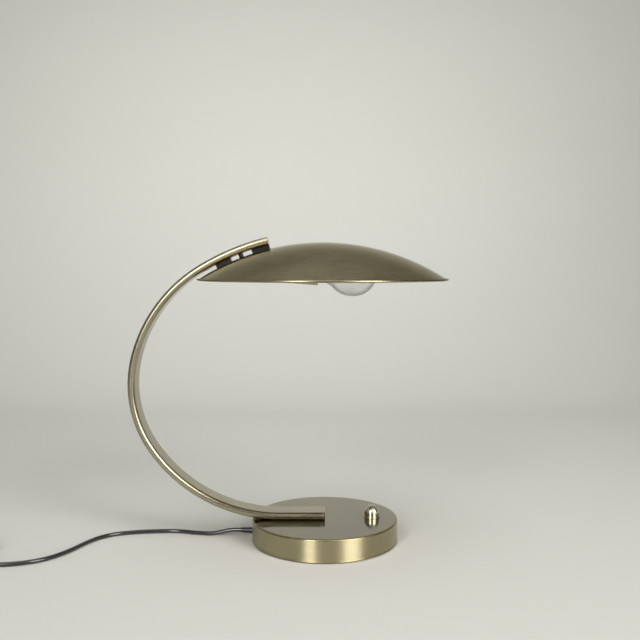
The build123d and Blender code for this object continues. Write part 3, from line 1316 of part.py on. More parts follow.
def make_pins():
    pins = []
    for spot in PIN_SPOTS:
        pin = rod(spot, PIN_RADIUS, 0, PIN_LENGTH)
        tip = pin.edges().filter_by(GeomType.CIRCLE).sort_by(Axis.Y)[-1]
        pins.append(fillet(tip, PIN_RADIUS / 2) + rod(spot, PIN_ROOT_RADIUS, -PLUG_FRONT_LENGTH / 2, 0))
    return group(pins)


nodes["plug_body"] = make_plug()
nodes["plug_pins"] = make_pins()
print("mains cord in all:", round(cord_length + coil_length), "mm")

for name, solid in nodes.items():
    export_step(solid, f"parts/{name}.step")
print(len(nodes), "nodes")
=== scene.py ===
import math

import bmesh
import bpy
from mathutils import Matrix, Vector


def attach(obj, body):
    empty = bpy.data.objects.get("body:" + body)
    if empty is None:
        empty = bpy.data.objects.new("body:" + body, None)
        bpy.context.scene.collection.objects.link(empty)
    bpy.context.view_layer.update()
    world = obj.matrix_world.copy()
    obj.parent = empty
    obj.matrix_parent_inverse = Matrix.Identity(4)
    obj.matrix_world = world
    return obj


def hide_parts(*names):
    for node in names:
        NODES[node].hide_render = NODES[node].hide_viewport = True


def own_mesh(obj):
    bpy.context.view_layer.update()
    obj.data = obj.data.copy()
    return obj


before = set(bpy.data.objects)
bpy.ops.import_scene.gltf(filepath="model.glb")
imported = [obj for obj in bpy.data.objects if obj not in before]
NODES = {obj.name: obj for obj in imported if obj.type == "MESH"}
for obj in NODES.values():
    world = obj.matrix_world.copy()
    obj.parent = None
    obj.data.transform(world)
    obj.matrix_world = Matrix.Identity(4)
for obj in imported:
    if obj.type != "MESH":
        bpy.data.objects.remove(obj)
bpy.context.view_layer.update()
MM = 0.001

# The lamp's sizes, in millimetres
BASE_RADIUS = 95.0
BASE_HEIGHT = 30.0
BASE_CEILING = 28.5
BASE_INSIDE_RADIUS = 93.5
BASE_EDGE_ROUND = 1.8
BASE_BEAD_RADIUS = 0.8
BASE_BEAD_CENTRE = (94.6, 2.1)
BASE_BEAD_INSIDE = 94.4
BASE_SIDE_FOOT = 2.9
BASE_WALL_FOOT = 1.2
BASE_TOP_RINGS = (92, 88, 80, 60, 30, 0.0)
BASE_CEILING_RING = 60.0
# Brass fades out over this reach above a height, and over this reach round a point in the edge
BASE_WEAR_FOOT, BASE_WEAR_REACH = 1.0, 4.0
BASE_EDGE_POINT, BASE_EDGE_WEAR_REACH = (94.4, 29.4), 2.2

ARM_WIDTH, ARM_THICKNESS = 35.0, 9.5
ARM_INSIDE_WIDTH, ARM_INSIDE_THICKNESS = 32.6, 7.1
ARM_START = -1.2
ARM_FOOT_LENGTH = 58.6
ARM_FOOT_HEIGHT = 34.75
# The arm's middle line past its straight foot: (centre as x and z, radius, first and last angle)
ARM_ARCS = [
    ((-58.6, 235.2), 200.45, 270.0, 214.0),
    ((-104.156, 204.472), 145.5, 214.0, 166.0),
    ((-61.609, 193.864), 189.35, 166.0, 121.6),
    ((-2.712, 98.13), 301.75, 121.6, 103.728),
]
SLOT_HALF = 5.3
SLOT_START_ANGLE = 120.589

# The dome and the last stretch of the arm have one centre
SHADE_CENTRE = Vector((-2.712, 0.0, 98.13))
DOME_RADIUS = 291.8
DOME_INSIDE_RADIUS = 290.8
RIM_RADIUS = 160.0
RIM_BEAD_RADIUS = 1.5
RIM_WEAR_REACH = 5.0
# Degrees above the rim's middle where the dome's outside and inside meet the bead
OUTSIDE_RIM_TURN, INSIDE_RIM_TURN = 0.35, 0.4

SWITCH_X = 61.7
KNOB_RADIUS = 9.65
KNOB_FOOT = 25.5
KNOB_EDGE = 0.3
KNOB_SIDE_START = 26.5
KNOB_WEAR_TOP = 31.0
KNOB_SHOULDER = 35.85
KNOB_POCKET_RADIUS = 7.0
KNOB_POCKET_CEILING = 34.0

GLOBE = Vector((37.288, 0.0, 350.13))
GLOBE_RADIUS = 30.0
LAMP_DIP = math.radians(5)
LAMP_AXIS = Vector((math.cos(LAMP_DIP), 0.0, -math.sin(LAMP_DIP)))
GLASS_THICKNESS = 0.8
# The globe's back half has its centre here along the axis, and ends this far behind that centre
GLOBE_BACK, GLOBE_SHOULDER = -4.0, 21.0
# The neck as (radius, height along the axis)
NECK_WAIST, NECK_FOOT = (16.4, -33.5), (13.0, -48.0)
NECK_COLLAR_RADIUS, NECK_END = 12.5, -54.0


# Camera
CAMERA_PLACE = (-0.0063, -1.0779, 0.3595)
CAMERA_DIP = 3.72
CAMERA_LENS = 46.83
CAMERA_SENSOR = 36.0

camera_data = bpy.data.cameras.new("camera")
camera_data.lens = CAMERA_LENS
camera_data.sensor_width = CAMERA_SENSOR
camera = bpy.data.objects.new("camera", camera_data)
camera.location = CAMERA_PLACE
camera.rotation_euler = (math.radians(90 - CAMERA_DIP), 0, 0)
bpy.context.scene.collection.objects.link(camera)
bpy.context.scene.camera = camera


# Material tools
class Nodes:
    """Short names for building a node material."""

    SOCKETS = {
        "color": "Base Color", "metallic": "Metallic", "roughness": "Roughness", "ior": "IOR",
        "specular": "Specular IOR Level", "transmission": "Transmission Weight", "coat": "Coat Weight",
        "coat_roughness": "Coat Roughness", "anisotropic": "Anisotropic", "sheen": "Sheen Weight",
        "anisotropic_rotation": "Anisotropic Rotation", "edge_tint": "Specular Tint",
    }

    def __init__(self, name, **values):
        self.material = bpy.data.materials.new(name)
        self.material.use_nodes = True
        self.tree = self.material.node_tree
        self.shader = self.tree.nodes["Principled BSDF"]
        for key, value in values.items():
            self.shader.inputs[self.SOCKETS[key]].default_value = value

    def add(self, kind, **settings):
        """A node, with its sockets or its own settings filled in by name."""
        node = self.tree.nodes.new(kind)
        for key, value in settings.items():
            if key in node.inputs:
                node.inputs[key].default_value = value
            else:
                setattr(node, key, value)
        return node

    def link(self, source, target):
        self.tree.links.new(source, target)

    def stretch(self, source, scale):
        mapping = self.add("ShaderNodeMapping", Scale=scale)
        self.link(source, mapping.inputs["Vector"])
        return mapping.outputs["Vector"]

    def place(self, scale=(1.0, 1.0, 1.0)):
        """Object coordinates in metres, stretched."""
        return self.stretch(self.add("ShaderNodeTexCoord").outputs["Object"], scale)

    def grain(self, scale=(1.0, 1.0, 1.0)):
        """Coordinates in metres along and across the brushing of a piece made here."""
        return self.stretch(self.add("ShaderNodeUVMap", uv_map="brush").outputs["UV"], scale)

    def noise(self, vector, scale, detail=3.0, roughness=0.55, distortion=0.0):
        node = self.add(
            "ShaderNodeTexNoise", Scale=scale, Detail=detail, Roughness=roughness, Distortion=distortion,
        )
        self.link(vector, node.inputs["Vector"])
        return node.outputs["Fac"]

    def ramp(self, value, stops, between="LINEAR"):
        """A colour looked up by value from (position, colour) stops."""
        node = self.add("ShaderNodeValToRGB")
        ramp = node.color_ramp
        ramp.interpolation = between
        while len(ramp.elements) < len(stops):
            ramp.elements.new(0.5)
        for element, (position, color) in zip(ramp.elements, stops):
            element.position = position
            element.color = (*color, 1.0)
        self.link(value, node.inputs["Fac"])
        return node.outputs["Color"]

    def spread(self, value, low, high, from_low=0.3, from_high=0.7):
        """The value with from_low..from_high, the usual reach of a noise, turned into low..high."""
        node = self.add("ShaderNodeMapRange")
        limits = {"From Min": from_low, "From Max": from_high, "To Min": low, "To Max": high}
        for name, number in limits.items():
            node.inputs[name].default_value = number
        self.link(value, node.inputs["Value"])
        return node.outputs["Result"]

    def math(self, operation, *values):
        node = self.add("ShaderNodeMath", operation=operation)
        for socket, value in zip(node.inputs, values):
            if isinstance(value, (int, float)):
                socket.default_value = value
            else:
                self.link(value, socket)
        return node.outputs[0]

    def blend(self, first, second, factor):
        """A mix of two colours or colour outputs."""
        node = self.add("ShaderNodeMix", data_type="RGBA")
        self.link(factor, node.inputs["Factor"])
        sockets = [socket for socket in node.inputs if socket.type == "RGBA"]
        for socket, value in zip(sockets, (first, second)):
            if isinstance(value, tuple):
                socket.default_value = (*value, 1.0)
            else:
                self.link(value, socket)
        return next(output for output in node.outputs if output.type == "RGBA")

    def bump(self, height, strength=0.2, distance=0.0002):
        node = self.add("ShaderNodeBump", Strength=strength, Distance=distance)
        self.link(height, node.inputs["Height"])
        self.link(node.outputs["Normal"], self.shader.inputs["Normal"])

    def color(self, output):
        self.link(output, self.shader.inputs["Base Color"])

    def rough(self, output):
        self.link(output, self.shader.inputs["Roughness"])

    def attribute(self, name):
        return self.add("ShaderNodeAttribute", attribute_name=name).outputs["Fac"]

    def facing(self):
        """0 where the surface faces the eye and 1 where it is seen edge on."""
        return self.add("ShaderNodeLayerWeight", Blend=0.5).outputs["Facing"]


def srgb(red, green, blue):
    """A colour given as screen values from 0 to 255."""
    return tuple(
        value / 255 / 12.92 if value <= 10 else ((value / 255 + 0.055) / 1.055) ** 2.4
        for value in (red, green, blue)
    )


def shaded(color, factor):
    return tuple(min(1.0, channel * factor) for channel in color)


SATIN = srgb(171, 165, 146)
WARM_SATIN = srgb(180, 170, 138)
GOLDEN = srgb(190, 164, 104)
DULL = srgb(120, 110, 86)
# Near black laid over the metal as painted shade where a piece marks it
PAINTED_SHADE = srgb(34, 30, 22)

# Noise scales per metre of the plating's tarnish clouds, small spots and rubbed patches
CLOUD_SCALE, SPOT_SCALE, RUB_SCALE = 11.0, 150.0, 60.0
# Shares of clouds, brushing bands and fine brushing in the metal's tone
CLOUD_SHARE, BAND_SHARE, FINE_SHARE = 0.7, 0.16, 0.14
# Brushing bands have this share of the fine brushing's scale, along and across it
BAND_ALONG, BAND_ACROSS = 0.3, 0.12
WORN_ROUGHNESS = 0.5
BRUSHING_DEPTH = 0.00004
# Noise scale per metre of the slow change of tone in plain metal and glass
BROAD_SCALE = 30.0


def plated(name, base, roughness, lines=(30.0, 2600.0, 1.0), anisotropic=0.0, patina=0.35, wear=0.6,
           scratch=0.05, smear=0.06, bump=0.04, glancing=0.0, edge=(1.0, 1.0, 1.0)):
    """Satin nickel over brass: fine brushing, uneven lacquer, tarnish spots, brass at worn edges, and painted
    reflection and painted shade where a piece marks them.

    lines is the scale of the brushing along and across it, and glancing is how much smoother the
    metal gets where it is seen edge on.
    """
    m = Nodes(name, metallic=1.0, anisotropic=anisotropic, anisotropic_rotation=0.25, edge_tint=(*edge, 1.0))
    fine = m.noise(m.grain(lines), 1.0, 2.0, 0.6)
    bands = m.noise(m.grain((lines[0] * BAND_ALONG, lines[1] * BAND_ACROSS, 1.0)), 1.0, 3.0, 0.6)
    where = m.place()
    cloud = m.noise(where, CLOUD_SCALE, 4.0, 0.6, 0.4)
    spots = m.noise(where, SPOT_SCALE, 4.0, 0.75)
    tone = m.math("ADD", m.math("MULTIPLY", cloud, CLOUD_SHARE), m.math("MULTIPLY", bands, BAND_SHARE))
    tone = m.math("ADD", tone, m.math("MULTIPLY", fine, FINE_SHARE))
    color = m.ramp(tone, [(0.36, shaded(base, 0.88)), (0.5, base), (0.66, shaded(base, 1.07))])
    stain = m.spread(m.math("MULTIPLY", spots, cloud), 0.0, patina, 0.3, 0.42)
    color = m.blend(color, DULL, stain)
    patches = m.spread(m.noise(where, RUB_SCALE, 4.0, 0.6), 0.35, 1.0)
    worn_and_reflecting = m.math("MULTIPLY", m.attribute("wear"), patches)
    # The golden colour is worn brass, and on the arm's lower sides it is painted reflection
    color = m.blend(color, GOLDEN, m.math("MULTIPLY", worn_and_reflecting, wear))
    # Painted shade: the colour darkens towards near black where the piece marks it
    m.color(m.blend(color, PAINTED_SHADE, m.attribute("painted_shade")))
    rough = m.math("ADD", m.spread(fine, -scratch, scratch), m.spread(cloud, -smear, smear))
    rough = m.math("ADD", rough, roughness)
    rough = m.math("ADD", rough, m.math("MULTIPLY", worn_and_reflecting, WORN_ROUGHNESS * wear))
    if glancing:
        rough = m.math("MULTIPLY", rough, m.spread(m.facing(), 1.0, 1.0 - glancing, 0.7, 0.95))
    m.rough(rough)
    if anisotropic:
        tangent = m.add("ShaderNodeTangent", direction_type="UV_MAP", uv_map="brush")
        m.link(tangent.outputs[0], m.shader.inputs["Tangent"])
    m.bump(m.math("ADD", fine, m.math("MULTIPLY", bands, 0.5)), bump, BRUSHING_DEPTH)
    return m.material


def brushed_metal(name, base, roughness, stretch=(40.0, 900.0, 40.0), stain=0.1, bump=0.06):
    """Satin metal with straight brushing, for bars, nuts and bent strips of the solid model."""
    m = Nodes(name, metallic=1.0)
    fine = m.noise(m.place(stretch), 1.0, 4.0, 0.65)
    broad = m.noise(m.place(), BROAD_SCALE, 3.0, 0.6)
    warm = shaded((base[0] * 1.03, base[1] * 0.98, base[2] * 0.9), 1 - stain)
    tone = m.math("ADD", m.math("MULTIPLY", broad, 0.7), m.math("MULTIPLY", fine, 0.3))
    m.color(m.ramp(tone, [(0.34, warm), (0.55, base), (0.72, shaded(base, 1 + stain * 0.7))]))
    m.rough(m.spread(fine, roughness - 0.04, roughness + 0.05))
    m.bump(fine, bump, 0.00005)
    return m.material


def plain_surface(name, base, roughness, scale=220.0, bump=0.15, distance=0.0002, stain=0.15, **values):
    """Moulded, cast or coated surface with fine grain and uneven gloss."""
    m = Nodes(name, **values)
    grain = m.noise(m.place(), scale, 4.0, 0.6)
    broad = m.noise(m.place(), scale / 12, 3.0, 0.5)
    m.color(m.ramp(broad, [(0.35, shaded(base, 1 - stain)), (0.65, shaded(base, 1 + stain))]))
    m.rough(m.spread(grain, max(0.02, roughness - 0.06), roughness + 0.06))
    m.bump(grain, bump, distance)
    return m.material


def clear_glass(name, tint, roughness):
    """Thin clear glass, with painted shade that darkens its colour where it is seen edge on."""
    m = Nodes(name, transmission=1.0, ior=1.45)
    broad = m.noise(m.place(), BROAD_SCALE, 2.0, 0.5)
    color = m.ramp(broad, [(0.3, shaded(tint, 0.98)), (0.7, tint)])
    # Painted shade: a dark outline where the glass is seen edge on
    m.color(m.blend(color, shaded(tint, 0.3), m.spread(m.facing(), 0.0, 1.0, 0.4, 0.85)))
    m.rough(m.spread(broad, roughness, roughness + 0.012))
    return m.material


# Materials
materials = {
    # The top's colour is painted darker than the side's, painted shade for the darker things it mirrors
    "base_top": plated("satin_base_top", srgb(131, 125, 106), 0.13, (30.0, 1200.0, 1.0), smear=0.05),
    "base_side": plated(
        "brushed_base_side", WARM_SATIN, 0.36, (10.0, 1500.0, 1.0), 0.95, patina=0.12, smear=0.012,
    ),
    "shade": plated(
        "satin_shade", srgb(162, 153, 126), 0.28, (9.0, 1400.0, 1.0), 0.5, patina=0.25, wear=0.04,
        glancing=0.75, edge=(0.66, 0.64, 0.58),
    ),
    "arm": plated(
        "satin_arm", srgb(169, 161, 140), 0.25, (5.0, 900.0, 1.0), 0.35, wear=0.45, smear=0.04, bump=0.01,
        glancing=0.4,
    ),
    "knob": plated(
        "polished_knob", srgb(214, 206, 186), 0.26, (8.0, 900.0, 1.0), patina=0.15, scratch=0.03, smear=0.03,
        bump=0.01,
    ),
    "metal": brushed_metal("satin_metal", SATIN, 0.2),
    "zinc": brushed_metal("zinc_plated", srgb(176, 176, 172), 0.34),
    "sheet": plain_surface("coated_sheet", srgb(70, 70, 70), 0.5, metallic=0.6),
    "iron": plain_surface("cast_iron", srgb(60, 60, 62), 0.7, 300.0, bump=0.5, distance=0.0006, metallic=0.7),
    "dark": plain_surface("dark_satin", srgb(27, 24, 18), 0.34, metallic=0.3),
    "brass": brushed_metal("bare_brass", srgb(205, 172, 104), 0.25),
    "bulb_cap": brushed_metal("bulb_cap_metal", srgb(200, 192, 170), 0.2),
    "porcelain": plain_surface("porcelain", srgb(232, 230, 221), 0.28, 120.0, bump=0.05),
    "black_glass": plain_surface("black_glass", srgb(22, 22, 24), 0.12, 90.0, bump=0.03),
    "wire": brushed_metal("drawn_wire", srgb(120, 116, 108), 0.3),
    "moulded": plain_surface("moulded_plastic", srgb(52, 52, 54), 0.45, 500.0, bump=0.25),
    "lead": plain_surface("lead_sleeve", srgb(60, 54, 48), 0.5, 400.0, bump=0.2),
    "cord": plain_surface(
        "cord_black", srgb(34, 34, 35), 0.2, 900.0, bump=0.03, coat=0.6, coat_roughness=0.1,
    ),
    "plug": plain_surface("plug_black", srgb(30, 30, 31), 0.33, 700.0, bump=0.2),
    "felt": plain_surface(
        "felt_black", srgb(30, 30, 31), 0.95, 1400.0, bump=0.9, distance=0.0008, sheen=0.4,
    ),
    "glass": clear_glass("clear_glass", (0.93, 0.935, 0.925), 0.0),
}

BY_NODE = {
    "metal": ["arm_foot_cap", "arm_tip_cap", "holder_cap", "holder_skirt"],
    "iron": ["ballast_weight"],
    "sheet": ["base_plate"],
    "felt": ["felt_pad"],
    "zinc": [
        "base_plate_screws", "arm_foot_insert", "end_stop_screw", "arm_screws", "arm_screw_washers",
        "spacer_screw", "nipple_nut", "holder_locknut", "switch_nut", "terminal_block_screw",
        "cord_clamp_screws", "switch_spring", "slide_nut",
    ],
    "dark": ["slide_block", "slide_end_stop", "slide_spacer", "holder_bracket"],
    "brass": [
        "cable_nipple", "holder_nipple", "holder_thread_sleeve", "holder_contact", "bulb_contact",
        "switch_tabs", "plug_pins", "switch_plunger", "switch_collar",
    ],
    "bulb_cap": ["bulb_cap"],
    "porcelain": ["holder_insulator"],
    "glass": ["bulb_stem"],
    "black_glass": ["bulb_cap_insulator"],
    "wire": ["bulb_support_wires", "bulb_filament"],
    "moulded": ["switch_body", "cord_clamp", "terminal_block"],
    "lead": ["base_leads", "arm_leads", "shade_leads"],
    "plug": ["strain_relief", "plug_body", "cable_grommet"],
}
# Edges sharper than these stay sharp, on the solids and on the pieces made here
SOLID_EDGE, SKIN_EDGE = math.radians(32), math.radians(40)
# Points that lie nearer than this, in metres, become one
MERGE_DISTANCE = 1e-7
# Nearer to the axis than this share of the radius, the brushing runs out into rings
RINGS_SHARE = 0.2
# Steps round the base and the dome, the knob, and the bulb
WIDE_STEPS, KNOB_STEPS, BULB_STEPS = 256, 96, 128

for key, names in BY_NODE.items():
    for node_name in names:
        NODES[node_name].data.materials.clear()
        NODES[node_name].data.materials.append(materials[key])
for solid in NODES.values():
    solid.data.shade_smooth()
    solid.data.set_sharp_from_angle(angle=SOLID_EDGE)


# Surfaces made here
def unmarked(row, column):
    return 0.0


def only_part(row):
    return 0


def skin(name, rows, grain, wear, node, body, slot, keys, part_of=only_part, painted_shade=unmarked, holes=None):
    """A smooth skin from rings of points in millimetres, with its brushing, wear, painted reflection and
    painted shade laid on.

    grain(row, column) gives the place along and across the brushing, wear (with painted reflection) and
    painted shade are 0 to 1, part_of(row) is the number of the material, and holes(row, column) says where no
    face is.
    """
    mesh = bmesh.new()
    uv = mesh.loops.layers.uv.new("brush")
    worn_and_reflecting = mesh.verts.layers.float.new("wear")
    # Painted shade laid on the points, from 0 to 1
    dark = mesh.verts.layers.float.new("painted_shade")
    grid = []
    for row, ring in enumerate(rows):
        line = [mesh.verts.new(point * MM) for point in ring]
        for column, vertex in enumerate(line):
            vertex[worn_and_reflecting] = wear(row, column)
            vertex[dark] = painted_shade(row, column)
        grid.append(line)
    columns = len(rows[0])
    for row in range(len(rows) - 1):
        for column in range(columns):
            if holes and holes(row, column):
                continue
            across = (column + 1) % columns
            corners = ((row, column), (row, across), (row + 1, across), (row + 1, column))
            places = ((row, column), (row, column + 1), (row + 1, column + 1), (row + 1, column))
            vertices = [grid[r][c] for r, c in corners]
            if len({tuple(v.co) for v in vertices}) < 3:
                continue
            face = mesh.faces.new(vertices)
            face.smooth = True
            face.material_index = part_of(row)
            for loop, (r, c) in zip(face.loops, places):
                loop[uv].uv = grain(r, c)
    bmesh.ops.remove_doubles(mesh, verts=mesh.verts, dist=MERGE_DISTANCE)
    bmesh.ops.recalc_face_normals(mesh, faces=mesh.faces)
    data = bpy.data.meshes.new(name)
    mesh.to_mesh(data)
    mesh.free()
    data.set_sharp_from_angle(angle=SKIN_EDGE)
    for key in keys:
        data.materials.append(materials[key])
    piece = bpy.data.objects.new(name, data)
    bpy.context.scene.collection.objects.link(piece)
    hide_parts(node)
    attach(piece, body)


def turned(name, profile, steps, centre, axis, **settings):
    """A skin turned about an axis from (radius, height) points."""
    turn = Vector(axis).to_track_quat("Z", "Y").to_matrix()
    rows = []
    for radius, height in profile:
        ring = []
        for step in range(steps):
            angle = 2 * math.pi * step / steps
            point = Vector((radius * math.cos(angle), radius * math.sin(angle), height))
            ring.append(Vector(centre) + turn @ point)
        rows.append(ring)
    run = [0.0]
    for (r0, h0), (r1, h1) in zip(profile, profile[1:]):
        run.append(run[-1] + math.hypot(r1 - r0, h1 - h0))
    widest = max(radius for radius, _ in profile)

    def grain(row, column):
        """Near the axis the brushing is rings alone, so that no pattern draws together there."""
        even = min(1.0, profile[row][0] / (RINGS_SHARE * widest))
        return (2 * math.pi * widest * column / steps * even * MM, run[row] * MM)

    skin(name, rows, grain, **settings)


def arc(centre, radius, start, end, count):
    """Points of an arc in (radius, height), from one angle to another."""
    points = []
    for number in range(count + 1):
        angle = math.radians(start + (end - start) * number / count)
        points.append((centre[0] + radius * math.cos(angle), centre[1] + radius * math.sin(angle)))
    return points


def base_shell():
    """Brushed side with a small bead at its foot, satin top with a softly rounded edge."""
    shoulder = BASE_HEIGHT - BASE_EDGE_ROUND
    bead = arc(BASE_BEAD_CENTRE, BASE_BEAD_RADIUS, -55, 58, 8)
    edge = arc((BASE_RADIUS - BASE_EDGE_ROUND, shoulder), BASE_EDGE_ROUND, 0, 90, 10)
    side_steps = 24
    side_height = shoulder - BASE_SIDE_FOOT
    side = [
        (BASE_RADIUS, BASE_SIDE_FOOT + side_height * number / side_steps) for number in range(side_steps)
    ]
    top = [(radius, BASE_HEIGHT) for radius in BASE_TOP_RINGS]
    inside = [
        (0.0, BASE_CEILING), (BASE_CEILING_RING, BASE_CEILING), (BASE_INSIDE_RADIUS, BASE_CEILING),
        (BASE_INSIDE_RADIUS, BASE_WALL_FOOT), (BASE_BEAD_INSIDE, BASE_WALL_FOOT),
    ]
    profile = bead + side + edge + top + inside
    side_end = len(bead) + len(side)

    def wear(row, column):
        """Brass shows low on the side and along the rounded edge."""
        radius, height = profile[row]
        low = max(0.0, 1.0 - (height - BASE_WEAR_FOOT) / BASE_WEAR_REACH)
        away = math.hypot(radius - BASE_EDGE_POINT[0], height - BASE_EDGE_POINT[1])
        rim = max(0.0, 1.0 - away / BASE_EDGE_WEAR_REACH)
        return min(1.0, low * 0.8 + rim)

    turned(
        "base_shell_skin", profile, WIDE_STEPS, (0, 0, 0), (0, 0, 1), node="base_shell", wear=wear,
        body="stand", slot="satin_metal", keys=("base_top", "base_side"),
        part_of=lambda row: 1 if row < side_end else 0,
    )


# The arm is a flat oval tube with a slot under its end
FOOT_STEPS, FLAT_STEPS, ROUND_STEPS = 9, 6, 18
STATION_PITCH, SLOTTED_PITCH = 2.4, 0.9
# Where the arm is worn, and where painted reflection lies on its lower side, in millimetres: across the tube,
# and along it from its foot and its tip
SIDE_WEAR_AND_REFLECTION_START, SIDE_WEAR_AND_REFLECTION_REACH = 12.8, 4.7
FOOT_REFLECTION_END, FOOT_REFLECTION_REACH = 260.0, 120.0
TIP_REFLECTION_END, TIP_REFLECTION_REACH = 170.0, 60.0
FOOT_EDGE_WEAR, TIP_EDGE_WEAR = 8.0, 5.0
# Its underside has painted shade past this depth and over this height, and the painted shade grows from this
# x over this reach
PAINTED_SHADE_DEPTH, PAINTED_SHADE_LOWEST = -4.2, 250
PAINTED_SHADE_START, PAINTED_SHADE_REACH = -160.0, 8.0


def slot_half_width(degrees, radius):
    """Half the slot's width at an angle of the arm's last arc; the slot starts with a half round."""
    beyond = math.radians(SLOT_START_ANGLE - degrees) * radius
    if beyond <= -SLOT_HALF:
        return 0.0
    if beyond > 0:
        return SLOT_HALF
    return math.sqrt(max(0.0, SLOT_HALF**2 - beyond**2))


def arm_stations():
    """(place, outward direction, length so far, half width of the slot) along the tube."""
    stations = []
    for number in range(FOOT_STEPS):
        x = ARM_START - (ARM_FOOT_LENGTH + ARM_START) * number / FOOT_STEPS
        stations.append((Vector((x, 0, ARM_FOOT_HEIGHT)), Vector((0, 0, -1)), -x, 0.0))
    travelled = ARM_FOOT_LENGTH
    for (cx, cz), radius, start, end in ARM_ARCS:
        slotted = (radius, start, end) == ARM_ARCS[-1][1:]
        count = int(math.radians(start - end) * radius / (SLOTTED_PITCH if slotted else STATION_PITCH))
        for number in range(count):
            degrees = start + (end - start) * number / count
            angle = math.radians(degrees)
            outward = Vector((math.cos(angle), 0, math.sin(angle)))
            place = Vector((cx, 0, cz)) + outward * radius
            half = slot_half_width(degrees, radius) if slotted else 0.0
            stations.append((place, outward, travelled + math.radians(start - degrees) * radius, half))
        travelled += math.radians(start - end) * radius
    _, radius, _, end = ARM_ARCS[-1]
    angle = math.radians(end)
    outward = Vector((math.cos(angle), 0, math.sin(angle)))
    stations.append((SHADE_CENTRE + outward * radius, outward, travelled, SLOT_HALF))
    return stations


def oval(width, thickness, half_slot):
    """Outline of a flat oval, from one edge of the slot round to the other, as (across, outward)."""
    radius = thickness / 2
    flat = width / 2 - radius
    points = [
        (half_slot + (flat - half_slot) * number / FLAT_STEPS, -radius) for number in range(FLAT_STEPS)
    ]
    for number in range(ROUND_STEPS):
        angle = math.pi * number / ROUND_STEPS
        points.append((flat + radius * math.sin(angle), -radius * math.cos(angle)))
    points += [(flat - flat * number / FLAT_STEPS, radius) for number in range(FLAT_STEPS)]
    mirrored = [(-across, out) for across, out in reversed(points)]
    return points + [(0.0, radius)] + mirrored


def tube_outline(half_slot):
    """Outside and inside of the tube as (across, outward), one after the other."""
    outside = oval(ARM_WIDTH, ARM_THICKNESS, half_slot)
    inside = oval(ARM_INSIDE_WIDTH, ARM_INSIDE_THICKNESS, half_slot)
    return outside + inside[::-1]


def arm_tube():
    stations = arm_stations()
    rows = [
        [place + outward * out + Vector((0, across, 0)) for across, out in tube_outline(half)]
        for place, outward, _, half in stations
    ]
    outline = tube_outline(0)
    outside_count = len(outline) // 2
    around = [0.0]
    for (a0, o0), (a1, o1) in zip(outline, outline[1:] + outline[:1]):
        around.append(around[-1] + math.hypot(a1 - a0, o1 - o0))

    def grain(row, column):
        return (stations[row][2] * MM, around[column] * MM)

    def wear(row, column):
        """Brass shows along the rounded sides and at both ends, and a golden painted reflection lies on the
        sides' lower halves near the foot and the tip.
        """
        if column >= outside_count:
            return 0.0
        across, out = outline[column]
        side = max(0.0, (abs(across) - SIDE_WEAR_AND_REFLECTION_START) / SIDE_WEAR_AND_REFLECTION_REACH)
        from_foot, from_tip = stations[row][2], stations[-1][2] - stations[row][2]
        near_foot = max(0.0, min(1.0, (FOOT_REFLECTION_END - from_foot) / FOOT_REFLECTION_REACH))
        near_tip = max(0.0, min(1.0, (TIP_REFLECTION_END - from_tip) / TIP_REFLECTION_REACH))
        height = out / (ARM_THICKNESS / 2)
        # Painted reflection: golden on the lower halves of the sides near the foot and the tip
        painted_reflection_below = near_foot * max(0.0, height) + near_tip * max(0.0, -height)
        ends = max(0.0, 1.0 - from_foot / FOOT_EDGE_WEAR, 1.0 - from_tip / TIP_EDGE_WEAR)
        return min(1.0, side * (0.12 + 1.3 * painted_reflection_below) + 0.4 * ends)

    def painted_shade(row, column):
        """The underside beside the slide, and the inside, are painted with shade."""
        if column >= outside_count:
            return 0.9
        _, out = outline[column]
        place = stations[row][0]
        if out > PAINTED_SHADE_DEPTH or place.z <= PAINTED_SHADE_LOWEST:
            return 0.0
        return 0.85 * max(0.0, min(1.0, (place.x - PAINTED_SHADE_START) / PAINTED_SHADE_REACH))

    def seam(row, column):
        """Where the tube has no slot, nothing joins its outside to its inside."""
        closed = stations[row][3] == 0 and stations[row + 1][3] == 0
        return closed and column in (outside_count - 1, len(outline) - 1)

    skin(
        "arm_tube_skin", rows, grain, wear, "arm_tube", "stand", "satin_metal", ("arm",), painted_shade=painted_shade,
        holes=seam,
    )


def shade_dome():
    """Spun dome with its rolled rim."""
    rim = math.degrees(math.acos(RIM_RADIUS / DOME_RADIUS))
    rim_height = math.sqrt(DOME_RADIUS**2 - RIM_RADIUS**2)
    over = arc((0.0, 0.0), DOME_RADIUS, rim + OUTSIDE_RIM_TURN, 90.0, 90)
    bead = arc((RIM_RADIUS, rim_height), RIM_BEAD_RADIUS, -235, 68, 22)
    under = arc((0.0, 0.0), DOME_INSIDE_RADIUS, 90.0, rim + INSIDE_RIM_TURN, 60)
    profile = under + bead + over
    split = len(under)

    def wear(row, column):
        """The last few millimetres at the rim are worn, less so underneath."""
        from_edge = RIM_RADIUS + RIM_BEAD_RADIUS - profile[row][0]
        return max(0.0, 1.0 - from_edge / RIM_WEAR_REACH) * (1.0 if row >= split else 0.4)

    turned(
        "shade_dome_skin", profile, WIDE_STEPS, SHADE_CENTRE, (0, 0, 1), node="shade_dome", wear=wear,
        body="shade", slot="shade_metal", keys=("shade",),
    )


